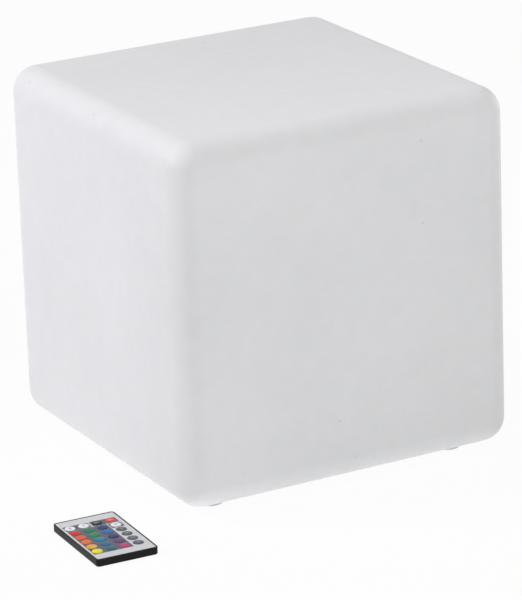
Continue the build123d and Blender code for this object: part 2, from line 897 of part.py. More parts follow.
# ------------------------------------------------------------------ handset case
def make_case():
    """The handset's black case: a tray with a rim, guides and posts for its works."""
    pocket_width = case_width - 2 * case_rim
    pocket_length = case_length - 2 * case_rim
    hollow_width = pocket_width - 2 * case_ledge
    hollow_length = pocket_length - 2 * case_ledge
    mouth_width = tray_width + 2 * tray_play
    guide_x = mouth_width / 2 + guide_thickness / 2
    guide_start = -hollow_length / 2
    guide_length = tray_inner_y - guide_start
    guide_y = guide_start + guide_length / 2
    card_post_x = case_width / 2 - card_post_inset_x
    card_post_y = case_length / 2 - card_post_inset_y
    end_wall = case_rim + case_ledge
    with BuildPart() as case:
        with BuildSketch(handset_level(0)):
            RectangleRounded(case_width, case_length, case_corner)
        extrude(amount=case_height)
        fillet(case.edges().group_by(Axis.Z)[0], case_underside_rounding)
        fillet(case.edges().group_by(Axis.Z)[-1], case_rim_rounding)
        with BuildSketch(handset_level(face_bottom)):
            RectangleRounded(pocket_width, pocket_length, case_corner - case_rim)
        extrude(amount=face_thickness + face_drop, mode=Mode.SUBTRACT)
        with BuildSketch(handset_level(case_floor)):
            RectangleRounded(hollow_width, hollow_length, hollow_corner)
        extrude(amount=face_bottom - case_floor, mode=Mode.SUBTRACT)
        with BuildSketch(handset_level(case_floor)):
            with Locations((-guide_x, guide_y), (guide_x, guide_y)):
                Rectangle(guide_thickness, guide_length)
            with Locations((-card_post_x, card_post_y), (card_post_x, card_post_y)):
                Circle(card_post_diameter / 2)
        extrude(amount=card_bottom - case_floor)
        # the drawer's mouth in the near end
        with BuildSketch(handset_level(case_floor, y=-case_length / 2)):
            Rectangle(mouth_width, 2 * end_wall + case_rim)
        extrude(amount=coin_top - case_floor, mode=Mode.SUBTRACT)
        # the emitter's hole in the far end
        far_end = upright(handset_level(emitter_z, y=case_length / 2))
        with BuildSketch(far_end):
            Circle(emitter_diameter / 2 + emitter_play)
        extrude(amount=end_wall + case_rim, both=True, mode=Mode.SUBTRACT)
    write_part(case, "remote_case")

    with BuildPart() as face:
        with BuildSketch(handset_level(face_bottom)):
            RectangleRounded(
                pocket_width - 2 * face_play,
                pocket_length - 2 * face_play,
                case_corner - case_rim - face_play,
            )
        extrude(amount=face_thickness)
        chamfer(face.edges().group_by(Axis.Z)[-1], face_chamfer)
        with BuildSketch(handset_level(face_bottom)):
            with Locations(*all_key_places()):
                Circle(key_radius + key_play)
        extrude(amount=face_thickness, mode=Mode.SUBTRACT)
    write_part(face, "remote_face")

    with BuildPart() as card:
        with BuildSketch(handset_level(card_bottom)):
            RectangleRounded(
                hollow_width - 2 * card_play,
                hollow_length - 2 * card_play,
                hollow_corner,
            )
        extrude(amount=card_thickness)
    write_part(card, "remote_board")

    # (x, y, width, length, height) of each part under the board, in steps of the placement grid
    packages = [(0, 13, 7.5, 11, 1.7), (11, 14, 3.4, 7, 1.6), (-10, 8, 1.2, 2, 0.6), (-10, 14, 1.2, 2, 0.6)]
    with BuildPart() as chip:
        for row in packages:
            x, y, width, length, height = [steps * placement_grid for steps in row]
            with BuildSketch(handset_level(card_bottom)):
                with Locations((x, y)):
                    Rectangle(width, length)
            extrude(amount=-height)
    write_part(chip, "remote_chip")


def make_emitter():
    """The infrared lamp that lies under the board and looks out of the far end."""
    lens_y = case_length / 2 + emitter_proud - emitter_diameter / 2
    back_y = lens_y - emitter_length
    back = Plane(
        origin=handset.from_local_coords((0, back_y, emitter_z)),
        x_dir=handset.x_dir,
        z_dir=handset.y_dir,
    )
    with BuildPart() as emitter:
        with BuildSketch(back):
            Circle(emitter_diameter / 2)
        extrude(amount=emitter_length)
        with Locations(Location(handset.from_local_coords((0, lens_y, emitter_z)))):
            Sphere(emitter_diameter / 2)
        with BuildSketch(back):
            with GridLocations(emitter_lead_pitch, 1, 2, 1):
                Rectangle(emitter_lead, emitter_lead)
        extrude(amount=-emitter_lead_run)
        with BuildSketch(handset_level(emitter_z, y=back_y - emitter_lead_run)):
            with GridLocations(emitter_lead_pitch, 1, 2, 1):
                Rectangle(emitter_lead, emitter_lead)
        extrude(amount=card_bottom - emitter_z)
    write_part(emitter, "ir_emitter")


def make_drawer():
    """The drawer that carries the coin cell, and the contacts that touch the cell."""
    drawer_top = coin_top - tray_top_play
    middle_y = (-case_length / 2 + tray_inner_y) / 2
    pocket_radius = coin_diameter / 2 + coin_play
    with BuildPart() as drawer:
        with BuildSketch(handset_level(tray_bottom, y=middle_y)):
            RectangleRounded(tray_width, tray_length, tray_corner)
        extrude(amount=drawer_top - tray_bottom)
        with BuildSketch(handset_level(coin_bottom, y=coin_y)):
            Circle(pocket_radius)
        extrude(amount=coin_thickness, mode=Mode.SUBTRACT)
        with BuildSketch(handset_level(tray_bottom, y=coin_y)):
            Circle(tray_window / 2)
        extrude(amount=tray_floor, mode=Mode.SUBTRACT)
        slot_length = tray_inner_y - coin_y
        with BuildSketch(handset_level(coin_bottom, y=coin_y + slot_length / 2)):
            Rectangle(contact_slot, slot_length + slot_overrun)
        extrude(amount=coin_thickness, mode=Mode.SUBTRACT)
        # the nail groove in the drawer's front
        with BuildSketch(handset_level(tray_bottom, y=-case_length / 2)):
            Rectangle(tray_grip_width, 2 * tray_grip_depth)
        extrude(amount=tray_grip_height, mode=Mode.SUBTRACT)
    write_part(drawer, "battery_tray")

    with BuildPart() as coin:
        with BuildSketch(handset_level(coin_bottom, y=coin_y)):
            Circle(coin_diameter / 2)
        extrude(amount=coin_thickness - coin_cap_height)
        with BuildSketch(handset_level(coin_bottom, y=coin_y)):
            Circle(coin_cap_diameter / 2)
        extrude(amount=coin_thickness)
    write_part(coin, "coin_cell")

    leaf_y = coin_y + coin_diameter / 2 + contact_gap + contact_metal / 2
    leaf_bottom = coin_bottom + contact_lift
    with BuildPart() as contacts:
        with BuildSketch(handset_level(coin_top, y=coin_y)):
            Rectangle(contact_width, contact_width)
        extrude(amount=card_bottom - coin_top)
        with BuildSketch(handset_level(leaf_bottom, y=leaf_y)):
            Rectangle(contact_width, contact_metal)
        extrude(amount=card_bottom - leaf_bottom)
    write_part(contacts, "battery_contacts")


# ------------------------------------------------------------------ handset keys
def make_key(name, column, row):
    """One key: a crowned button with a skirt under the face and a nub over its dome."""
    x, y = key_place(column, row)
    foot = handset_level(0, x, y)
    shoulder = face_top + key_proud
    with BuildPart() as key:
        with BuildSketch(upright(foot)):
            with BuildLine():
                Polyline(
                    (0, shoulder + key_crown),
                    (0, nub_bottom),
                    (key_nub_diameter / 2, nub_bottom),
                    (key_nub_diameter / 2, skirt_bottom),
                    (key_radius + key_skirt, skirt_bottom),
                    (key_radius + key_skirt, face_bottom),
                    (key_radius, face_bottom),
                    (key_radius, shoulder),
                )
                ThreePointArc(
                    (key_radius, shoulder),
                    (key_radius / 2, shoulder + cap_height(key_radius / 2, key_radius, key_crown)),
                    (0, shoulder + key_crown),
                )
            make_face()
        revolve(axis=Axis(foot.origin, foot.z_dir))
    write_part(key, f"key_{name}")


def make_keys():
    """All the keys, and the sprung metal domes under them."""
    for row, names in enumerate(key_names):
        for column, name in enumerate(names):
            make_key(name, column, row)

    outer, inner = dome_diameter / 2, dome_diameter / 2 - dome_foot
    inner_rise = dome_height - dome_metal
    with BuildPart() as domes:
        for x, y in all_key_places():
            seat = handset_level(card_top, x, y)
            with BuildSketch(upright(seat)):
                with BuildLine():
                    ThreePointArc(
                        (outer, 0),
                        (outer / 2, cap_height(outer / 2, outer, dome_height)),
                        (0, dome_height),
                    )
                    Line((0, dome_height), (0, inner_rise))
                    ThreePointArc(
                        (0, inner_rise),
                        (inner / 2, cap_height(inner / 2, inner, inner_rise)),
                        (inner, 0),
                    )
                    Line((inner, 0), (outer, 0))
                make_face()
            revolve(axis=Axis(seat.origin, seat.z_dir))
    write_part(domes, "key_domes")


def main():
    """Makes every piece, in the order in which the light goes together."""
    os.makedirs("parts", exist_ok=True)
    make_shell()
    make_housing()
    make_button()
    make_socket()
    make_power_stack()
    make_leads()
    make_light_engine()
    make_case()
    make_emitter()
    make_drawer()
    make_keys()


main()
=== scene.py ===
# %% [markdown]
# # A garden cube light and its card handset
#
# This lesson dresses a finished construction model. The construction gives every piece its
# size and place. Here each surface gets the shape and finish that the eye sees: a rotomoulded
# cube of milky polyethylene on four moulded feet, and a black card handset with a silver face
# and twenty-four coloured keys.
#
# Lengths are in metres. +Z is up, and the floor is at height zero.

# %% Load the construction
from math import cos, pi, radians, sin, tan

import bmesh
import bpy
import numpy as np
from mathutils import Matrix, Vector


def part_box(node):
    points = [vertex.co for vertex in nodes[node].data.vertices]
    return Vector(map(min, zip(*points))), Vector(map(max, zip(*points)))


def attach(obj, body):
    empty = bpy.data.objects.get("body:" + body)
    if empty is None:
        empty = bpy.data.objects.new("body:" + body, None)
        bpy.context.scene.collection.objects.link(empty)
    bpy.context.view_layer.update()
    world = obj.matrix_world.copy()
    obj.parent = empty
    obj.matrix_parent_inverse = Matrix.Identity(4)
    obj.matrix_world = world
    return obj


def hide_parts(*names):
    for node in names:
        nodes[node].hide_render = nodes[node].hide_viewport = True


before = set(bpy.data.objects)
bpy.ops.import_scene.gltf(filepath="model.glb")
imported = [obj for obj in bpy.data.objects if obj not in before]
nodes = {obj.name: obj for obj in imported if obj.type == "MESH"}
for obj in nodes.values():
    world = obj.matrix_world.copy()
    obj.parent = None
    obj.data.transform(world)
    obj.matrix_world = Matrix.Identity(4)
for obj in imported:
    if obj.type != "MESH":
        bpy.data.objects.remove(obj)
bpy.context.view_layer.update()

MM = 0.001
scene = bpy.context.scene

# %% [markdown]
# ## The camera
#
# A long lens from about three metres away keeps the cube's edges nearly parallel. The place,
# the aim and the small roll were found by laying a cube's outline over the photograph until
# it fitted to a third of a pixel.

# %% Place the camera
CAMERA_PLACE = Vector((-1.4257, -2.6405, 1.1460))
CAMERA_AZIMUTH = radians(-28.384)
CAMERA_ELEVATION = radians(18.937)
CAMERA_ROLL = radians(-1.974)
CAMERA_LENS = 232.2
CAMERA_SENSOR = 36.0


def camera_axes(azimuth, elevation, roll):
    """The camera's right, up and backward directions, from how it is turned round the object.

    Backward points from the object to the camera, right is level before the roll, and the
    roll turns right and up about backward.
    """
    flat = cos(elevation)
    back = Vector((sin(azimuth) * flat, -cos(azimuth) * flat, sin(elevation)))
    level_right = (-back).cross(Vector((0, 0, 1))).normalized()
    level_up = level_right.cross(-back)
    right = cos(roll) * level_right + sin(roll) * level_up
    up = cos(roll) * level_up - sin(roll) * level_right
    return right, up, back


def add_object(name, data):
    """An object that is in the scene."""
    added = bpy.data.objects.new(name, data)
    scene.collection.objects.link(added)
    return added


camera_data = bpy.data.cameras.new("photo_camera")
camera_data.lens = CAMERA_LENS
camera_data.sensor_width = CAMERA_SENSOR
camera = add_object("photo_camera", camera_data)
turned = Matrix(camera_axes(CAMERA_AZIMUTH, CAMERA_ELEVATION, CAMERA_ROLL)).transposed()
camera.matrix_world = Matrix.Translation(CAMERA_PLACE) @ turned.to_4x4()
scene.camera = camera
print("camera", [round(value, 3) for value in CAMERA_PLACE], "lens", CAMERA_LENS)

# %% [markdown]
# ## Small helpers for node trees
#
# Every finish is a tree of shader nodes. A few helpers keep the lesson short: one adds a node
# and sets its values, one starts a material with its Principled shader, and one opens a group
# with named inputs, for an effect that several finishes share.

# %% Node helpers
finishes = {}


def fill(tree, node, **values):
    """Fills a node's named or numbered inputs with values or with sockets."""
    for name, value in values.items():
        socket = node.inputs[int(name[1:]) if name[1:].isdigit() else name.replace("_", " ")]
        if isinstance(value, bpy.types.NodeSocket):
            tree.links.new(value, socket)
        else:
            socket.default_value = value
    return node


def add_node(tree, kind, settings=None, **values):
    """Adds a node, sets its plain settings, and fills its inputs."""
    node = tree.nodes.new(kind)
    for name, value in (settings or {}).items():
        setattr(node, name, value)
    return fill(tree, node, **values)


def calculate(tree, operation, first, second=0.0, third=0.0):
    """One step of arithmetic on numbers or sockets."""
    return add_node(
        tree, "ShaderNodeMath", {"operation": operation}, i0=first, i1=second, i2=third
    ).outputs[0]


def mix_colours(tree, share, first, second):
    """A colour that goes from the first to the second as the share goes from 0 to 1."""
    settings = {"data_type": "RGBA"}
    node = add_node(tree, "ShaderNodeMix", settings, Factor=share, i6=first, i7=second)
    return node.outputs[2]


def shaded(colour, factor, lift=0.0):
    """A colour made darker or lighter by a factor, at most white, with a full alpha."""
    return tuple(min(1.0, value * factor + lift) for value in colour[:3]) + (1,)


def remap(tree, value, low, high, to_low=0.0, to_high=1.0, **settings):
    """A value taken from one range to another, and kept inside it."""
    node = add_node(
        tree,
        "ShaderNodeMapRange",
        settings,
        Value=value,
        From_Min=low,
        From_Max=high,
        To_Min=to_low,
        To_Max=to_high,
    )
    return node.outputs[0]


def new_material(name, **shader_values):
    """Starts a finish: its tree, its Principled shader with some values, and coordinates.

    The coordinates are in the object's own space, which is the construction's, in metres.
    """
    finishes[name] = made = bpy.data.materials.new(name)
    made.use_nodes = True
    tree = made.node_tree
    place = tree.nodes.new("ShaderNodeTexCoord").outputs["Object"]
    return tree, fill(tree, tree.nodes["Principled BSDF"], **shader_values), place


def new_group(name, **inputs):
    """A node group from a vector and numbers to one value, and its inner ins and outs."""
    group = bpy.data.node_groups.new(name, "ShaderNodeTree")
    sockets = group.interface
    sockets.new_socket("Vector", in_out="INPUT", socket_type="NodeSocketVector")
    for label, start in inputs.items():
        label = label.replace("_", " ")
        socket = sockets.new_socket(label, in_out="INPUT", socket_type="NodeSocketFloat")
        socket.default_value = start
    sockets.new_socket("Value", in_out="OUTPUT", socket_type="NodeSocketFloat")
    entry, end = group.nodes.new("NodeGroupInput"), group.nodes.new("NodeGroupOutput")
    return group, entry.outputs, end.inputs


def use_group(tree, group, **values):
    """The value of a group that is put into a material with the material's own numbers."""
    return add_node(tree, "ShaderNodeGroup", {"node_tree": group}, **values).outputs[0]


def add_bump(tree, shader, height, distance, strength):
    """Feeds a height into the shader's normal through a bump node."""
    bump = add_node(tree, "ShaderNodeBump", Height=height, Distance=distance, Strength=strength)
    fill(tree, shader, Normal=bump.outputs["Normal"])


def dress(node_name, finish):
    """Gives a construction piece one finish."""
    slots = nodes[node_name].data.materials
    slots.clear()
    slots.append(finishes[finish])


print("pieces", len(nodes))

# %% [markdown]
# ## Effects that several finishes share
#
# Moulded plastic is never quite even. Slow clouds come from the melt, a fine grain comes from
# the tool's surface, and small pits and specks come from air and dust. Metal has fine lines
# where it was brushed. Each effect is a group that gives a value, and each finish mixes it
# with colours and depths of its own.

# %% Clouds and grain
NOISE_LIMITS = (0.3, 0.7)


def noise_group(name, scale, detail, roughness, stretch=None, limits=None):
    """A group round a noise texture. It may be stretched, and its limits may become 0 and 1."""
    group, entry, end = new_group(name, Scale=scale)
    place = entry["Vector"]
    if stretch:
        place = add_node(group, "ShaderNodeMapping", Vector=place, Scale=stretch).outputs[0]
    value = add_node(
        group,
        "ShaderNodeTexNoise",
        Vector=place,
        Scale=entry["Scale"],
        Detail=detail,
        Roughness=roughness,
    ).outputs["Fac"]
    if limits:
        value = remap(group, value, *limits)
    group.links.new(value, end["Value"])
    return group


clouds = noise_group("clouds", 10.0, 3.0, 0.5, limits=NOISE_LIMITS)
grain = noise_group("grain", 1000.0, 2.0, 0.6)
print("groups", clouds.name, grain.name)

# %% [markdown]
# Specks sit in the cells of a Voronoi pattern. A cell has a speck only if its random number is
# under the wanted share, and the speck reaches a little way out from the cell's middle.

# %% Specks
specks, specks_in, specks_out = new_group("specks", Scale=500.0, Share=0.1, Reach=0.2)
cells = add_node(
    specks, "ShaderNodeTexVoronoi", Vector=specks_in["Vector"], Scale=specks_in["Scale"]
)
away = cells.outputs["Distance"]
cell_number = add_node(specks, "ShaderNodeSeparateColor", Color=cells.outputs["Color"])
chosen = calculate(specks, "LESS_THAN", cell_number.outputs[0], specks_in["Share"])
near = remap(specks, away, 0.0, specks_in["Reach"], 1.0, 0.0, interpolation_type="SMOOTHSTEP")
specks.links.new(calculate(specks, "MULTIPLY", near, chosen), specks_out["Value"])
print("group", specks.name)

# %% [markdown]
# Brushed lines are noise that is drawn out a long way in one direction.

# %% Brushed lines
brushed = noise_group("brushed", 400.0, 3.0, 0.5, stretch=(0.04, 1.0, 0.3))
print("group", brushed.name)

# %% [markdown]
# A printed panel with rounded corners is a mask. The distance to a rounded rectangle is how
# far a point lies outside the rectangle that is smaller by the corner's radius, less that
# radius. The mask falls from one to zero across a thin edge.

# %% Rounded panel
PANEL_INPUTS = ("Middle_X", "Middle_Y", "Half_X", "Half_Y", "Corner", "Edge")
panel, panel_in, panel_out = new_group("rounded_panel", **dict.fromkeys(PANEL_INPUTS, 0.0))
panel_place = add_node(panel, "ShaderNodeSeparateXYZ", Vector=panel_in["Vector"])


def beyond_core(axis):
    """How far a point is outside the core of the rectangle along one axis, or negative."""
    middle, half = panel_in[f"Middle {axis}"], panel_in[f"Half {axis}"]
    offset = calculate(panel, "SUBTRACT", panel_place.outputs[axis], middle)
    core = calculate(panel, "SUBTRACT", half, panel_in["Corner"])
    return calculate(panel, "SUBTRACT", calculate(panel, "ABSOLUTE", offset), core)


beyond_x, beyond_y = beyond_core("X"), beyond_core("Y")
outside = add_node(
    panel,
    "ShaderNodeCombineXYZ",
    X=calculate(panel, "MAXIMUM", beyond_x, 0.0),
    Y=calculate(panel, "MAXIMUM", beyond_y, 0.0),
)
outside_length = add_node(
    panel, "ShaderNodeVectorMath", {"operation": "LENGTH"}, i0=outside.outputs[0]
)
inside_depth = calculate(panel, "MINIMUM", calculate(panel, "MAXIMUM", beyond_x, beyond_y), 0.0)
core_distance = calculate(panel, "ADD", outside_length.outputs["Value"], inside_depth)
panel_distance = calculate(panel, "SUBTRACT", core_distance, panel_in["Corner"])
panel_fall = calculate(panel, "DIVIDE", panel_distance, panel_in["Edge"])
panel.links.new(remap(panel, panel_fall, -0.5, 0.5, 1.0, 0.0), panel_out["Value"])
print("group", panel.name)

# %% [markdown]
# ## Mesh helpers
#
# New pieces are surfaces: a grid of points from two parameters, worked out as whole arrays.
# Several patches are joined, their common points are welded, and the normals are turned
# outwards. Edges sharper than a set angle, in degrees, stay sharp.

# %% Mesh helpers
WELD = 0.001 * MM
FINE_WELD = 0.0005 * MM
CREASE = 30


def grid_faces(rows, columns, close_columns=False):
    """Quads between the neighbouring points of a grid, as rows of four indices."""
    row = np.arange(rows - 1)[:, None]
    column = np.arange(columns if close_columns else columns - 1)[None, :]
    column_next = (column + 1) % columns
    corners = (
        row * columns + column,
        row * columns + column_next,
        (row + 1) * columns + column_next,
        (row + 1) * columns + column,
    )
    return np.stack(np.broadcast_arrays(*corners), axis=-1).reshape(-1, 4)


def patch(points, close_columns=False):
    """A grid of points with its faces."""
    rows, columns = points.shape[:2]
    return points.reshape(-1, 3), grid_faces(rows, columns, close_columns)


def even_angles(count, start=0.0):
    """Angles at even steps, once round."""
    return start + np.arange(count) * 2 * pi / count


def arrows(angle):
    """Unit arrows, (cos angle, sin angle)."""
    return np.stack([np.cos(angle), np.sin(angle)], axis=-1)


def on_circle(radius, count):
    """Places at even steps round a circle, radius times (cos angle, sin angle)."""
    return radius * arrows(even_angles(count))


def revolve(profile, centre, segments, start=0.0):
    """Turns a profile of (radius, height) about an upright axis.

    A point is centre + radius times (cos angle, sin angle), at the profile's height.
    """
    profile = np.asarray(profile, float)
    radius, height = profile[:, :1, None], profile[:, 1:, None]
    around = centre + radius * arrows(even_angles(segments, start))
    height = np.broadcast_to(height, (len(profile), segments, 1))
    return patch(np.concatenate([around, height], axis=-1), close_columns=True)


def drum_profile(radius, low, high):
    """The profile of a plain closed cylinder between two heights."""
    return [(0, low), (radius, low), (radius, high), (0, high)]


def rounded_path(corners, closed=False, steps=6):
    """A path of straight runs with rounded corners. Each corner is (x, y, radius).

    The arc's middle lies on the line that halves the corner, radius / sin(half angle) away,
    and the arc runs from one straight run to the other in even steps.
    """
    points = []
    for index, (x, y, radius) in enumerate(corners):
        here = np.array((x, y), float)
        if radius == 0 or (not closed and index in (0, len(corners) - 1)):
            points.append(here[None])
            continue
        before = np.array(corners[index - 1][:2]) - here
        after = np.array(corners[(index + 1) % len(corners)][:2]) - here
        before, after = before / np.linalg.norm(before), after / np.linalg.norm(after)
        half = np.arccos(np.clip(before @ after, -1, 1)) / 2
        halving = (before + after) / np.linalg.norm(before + after)
        middle = here + halving * radius / sin(half)
        start = here + before * radius / tan(half) - middle
        stop = here + after * radius / tan(half) - middle
        side = np.array((-start[1], start[0]))
        turn = np.sign(side @ stop) * np.linspace(0, pi - 2 * half, steps + 1)[:, None]
        points.append(middle + np.cos(turn) * start + np.sin(turn) * side)
    return np.concatenate(points)


def new_piece(name, patches, finish, weld=WELD, crease=CREASE):
    """An object made of patches, welded, with its normals outwards, smooth but for its creases."""
    points, faces, start = [], [], 0
    for patch_points, patch_faces in patches:
        points.extend(patch_points.tolist())
        faces.extend((patch_faces + start).tolist())
        start += len(patch_points)
    mesh = bpy.data.meshes.new(name)
    mesh.from_pydata(points, [], faces)
    shaped = bmesh.new()
    shaped.from_mesh(mesh)
    bmesh.ops.remove_doubles(shaped, verts=shaped.verts, dist=weld)
    bmesh.ops.recalc_face_normals(shaped, faces=shaped.faces)
    shaped.to_mesh(mesh)
    shaped.free()
    mesh.shade_smooth()
    mesh.set_sharp_from_angle(angle=radians(crease))
    mesh.materials.append(finishes[finish])
    return add_object(name, mesh)


print("welds", WELD, FINE_WELD, "crease", CREASE)

# %% [markdown]
# ## The polyethylene
#
# The cube is rotomoulded: powder melts onto the inside of a hot turning mould. The result is
# milky, satin and a little uneven. Light sinks in before it comes out, so the shader has some
# subsurface light. Close up there are a faint orange peel, fine pits, and rare specks of dust.
# The dust specks are grey, and the pits are painted darker too, as painted shade in them.

# %% Polyethylene finish
PE_WHITE = (0.81, 0.814, 0.822, 1)
PE_CLOUD = (0.865, 0.868, 0.876, 1)
# The grey of the dust specks, which is also painted into the pits as painted shade.
PE_SPECK_AND_PIT_SHADE = (0.50, 0.50, 0.49, 1)
PE_ROUGHNESS = (0.52, 0.6)
MELT_SHARE = 0.65
PIT_STRENGTH = 0.7
SPECK_AND_PIT_SHADE_STRENGTH = 0.42
MARK_SINK = -0.8
PEEL_DEPTH = 0.09 * MM
PEEL_STRENGTH = 0.8
tree, shader, place = new_material(
    "milky_polyethylene",
    IOR=1.5,
    Specular_IOR_Level=0.22,
    Subsurface_Weight=0.2,
    Subsurface_Radius=(1.0, 1.0, 1.0),
    Subsurface_Scale=0.002,
)
melt = use_group(tree, clouds, Vector=place, Scale=7.0)
swirl = use_group(tree, clouds, Vector=place, Scale=85.0)
dust = use_group(tree, specks, Vector=place, Scale=62.0, Share=0.20, Reach=0.12)
pits = use_group(tree, specks, Vector=place, Scale=150.0, Share=0.07, Reach=0.17)
melted = calculate(tree, "MULTIPLY", melt, MELT_SHARE)
shade = calculate(tree, "MULTIPLY_ADD", swirl, 1 - MELT_SHARE, melted)
body_colour = mix_colours(tree, shade, PE_WHITE, PE_CLOUD)
# Grey dust specks, and pits that are painted darker as painted shade in the dents.
marks = calculate(tree, "MAXIMUM", dust, calculate(tree, "MULTIPLY", pits, PIT_STRENGTH))
speck_and_pit_shade = calculate(tree, "MULTIPLY", marks, SPECK_AND_PIT_SHADE_STRENGTH)
body_colour = mix_colours(tree, speck_and_pit_shade, body_colour, PE_SPECK_AND_PIT_SHADE)
peel = use_group(tree, grain, Vector=place, Scale=240.0)
skin = calculate(tree, "MULTIPLY_ADD", marks, MARK_SINK, peel)
add_bump(tree, shader, skin, PEEL_DEPTH, PEEL_STRENGTH)
satin = remap(tree, melt, 0.0, 1.0, *PE_ROUGHNESS)
fill(tree, shader, Base_Color=body_colour, Roughness=satin)
print("finishes", list(finishes))

# %% [markdown]
# ## The cube
#
# A rounded cube is a smaller cube's surface pushed out by the edge radius. Each of its six
# faces is a grid. A point on the sharp cube is moved to its nearest point in the core, and
# then out again by the radius, which gives flats, rounded edges and ball corners in one
# formula. The flats sink a little towards their middles, as such mouldings do while they cool.

# %% Cube faces
shell_low, shell_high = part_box("shell")
HALF_SIDE = (shell_high.x - shell_low.x) / 2
FOOT_HEIGHT = 7.6 * MM
CUBE_MIDDLE = FOOT_HEIGHT + HALF_SIDE
EDGE_RADIUS = 21.5 * MM
WALL = 3.2 * MM
FACE_SINK = 0.5 * MM
CORE = HALF_SIDE - EDGE_RADIUS
FLAT_STEPS = 24
ARC_STEPS = 10
RING_STEPS = 6
RING_SEGMENTS = 4 * FLAT_STEPS
RING_START = np.radians(-45)
HAIR = 0.01 * MM
SHELL_WELD = 0.005 * MM

flat_knots = CORE * np.tan(np.radians(np.linspace(-45, 45, FLAT_STEPS + 1)))
arc_angles = np.radians(np.linspace(0, 45, ARC_STEPS + 1))[1:]


def cube_face(half_side, sink):
    """One face of the rounded cube, looking up: x, y and height are from the cube's middle.

    The sink follows (1 - (x / core)^2)^2 times the same in y, so it meets the edges level.
    """
    radius = half_side - CORE
    arc_knots = CORE + radius * np.tan(arc_angles)
    knots = np.concatenate([-arc_knots[::-1], flat_knots, arc_knots])
    x, y = np.meshgrid(knots, knots, indexing="ij")
    sharp = np.stack([x, y, np.full_like(x, half_side)], axis=-1)
    inside = np.clip(sharp, -CORE, CORE)
    outwards = sharp - inside
    outwards /= np.linalg.norm(outwards, axis=-1, keepdims=True)
    rounded = inside + radius * outwards
    share = np.clip(1 - (sharp[..., :2] / CORE) ** 2, 0, 1) ** 2
    rounded[..., 2] -= sink * share[..., 0] * share[..., 1]
    return rounded


def cube_patches(half_side, opening_radius):
    """All faces of the rounded cube, the lower one open from its core square to a circle.

    The ring goes from the square to the circle in straight lines, at even angles.
    """
    sunk, level = cube_face(half_side, FACE_SINK), cube_face(half_side, 0.0)
    x, y, z = (sunk[..., axis] for axis in range(3))
    faces = [(x, y, z), (z, x, y), (-z, x, y), (x, z, y), (x, -z, y)]
    patches = [patch(np.stack(face, axis=-1)) for face in faces]
    lower_points, lower_faces = patch(level * (1, 1, -1))
    reach = np.abs(lower_points[:, :2]).max(axis=1)
    outer = reach[lower_faces].max(axis=1) > CORE + HAIR
    patches.append((lower_points, lower_faces[outer]))
    direction = arrows(even_angles(RING_SEGMENTS, RING_START))
    square = CORE * direction / np.abs(direction).max(axis=-1, keepdims=True)
    share = np.linspace(0, 1, RING_STEPS + 1)[:, None, None]
    ring = (1 - share) * square + share * opening_radius * direction
    height = np.full(ring.shape[:2] + (1,), -half_side)
    patches.append(patch(np.concatenate([ring, height], axis=-1), close_columns=True))
    return [(points + (0, 0, CUBE_MIDDLE), faces) for points, faces in patches]


print("cube side", round(2 * HALF_SIDE, 4))

# %% [markdown]
# The stepped opening joins the outer skin to the inner one. Its profile runs up the recess,
# in along the seat, up the collar, over the collar's rim and back along the inside.

# %% The opening
RECESS_RADIUS = 72.75 * MM
OPENING_RADIUS = 57.95 * MM
RING_EDGE = 4.0 * MM
SEAT_BOTTOM = 13.2 * MM
SEAT_TOP = SEAT_BOTTOM + WALL
COLLAR_TOP = 22.4 * MM
LIP_ROUNDING = 0.6 * MM
SEAT_ROUNDING = 0.8 * MM
COLLAR_RADIUS = OPENING_RADIUS + WALL
INNER_RADIUS = RECESS_RADIUS + WALL
PLATE_TOP = FOOT_HEIGHT + WALL

opening_profile = rounded_path(
    [
        (RECESS_RADIUS + RING_EDGE, FOOT_HEIGHT, 0),
        (RECESS_RADIUS, FOOT_HEIGHT, LIP_ROUNDING),
        (RECESS_RADIUS, SEAT_BOTTOM, SEAT_ROUNDING),
        (OPENING_RADIUS, SEAT_BOTTOM, SEAT_ROUNDING),
        (OPENING_RADIUS, COLLAR_TOP, LIP_ROUNDING),
        (COLLAR_RADIUS, COLLAR_TOP, LIP_ROUNDING),
        (COLLAR_RADIUS, SEAT_TOP, SEAT_ROUNDING),
        (INNER_RADIUS, SEAT_TOP, SEAT_ROUNDING),
        (INNER_RADIUS, PLATE_TOP, SEAT_ROUNDING),
        (INNER_RADIUS + RING_EDGE, PLATE_TOP, 0),
    ]
)
cube_shell = new_piece(
    "cube_shell",
    cube_patches(HALF_SIDE, RECESS_RADIUS + RING_EDGE)
    + cube_patches(HALF_SIDE - WALL, INNER_RADIUS + RING_EDGE)
    + [revolve(opening_profile, (0, 0), RING_SEGMENTS, RING_START)],
    "milky_polyethylene",
    weld=SHELL_WELD,
)
print("skins and opening", len(cube_shell.data.polygons), "faces")

# %% [markdown]
# Four hollow feet stand under the corners, and six bosses round the opening hold the brass
# inserts. Each is a turned profile, and so is the hollow in it.

# %% The feet and the insert bosses
FOOT_RADIUS = 10.5 * MM
FOOT_PLACE = 110.0 * MM
FOOT_ROUNDING = 1.2 * MM
FOOT_FILLET = 1.5 * MM
FOOT_FLARE = FOOT_RADIUS + 2 * FOOT_FILLET
HOLLOW_TOP = PLATE_TOP + 1 * MM
BOSS_RADIUS = 5.5 * MM
BOSS_TOP = 23.9 * MM
INSERT_RADIUS = 2.8 * MM
INSERT_TOP = SEAT_BOTTOM + 8.0 * MM
SCREW_CIRCLE = 65.45 * MM
SCREW_COUNT = 6

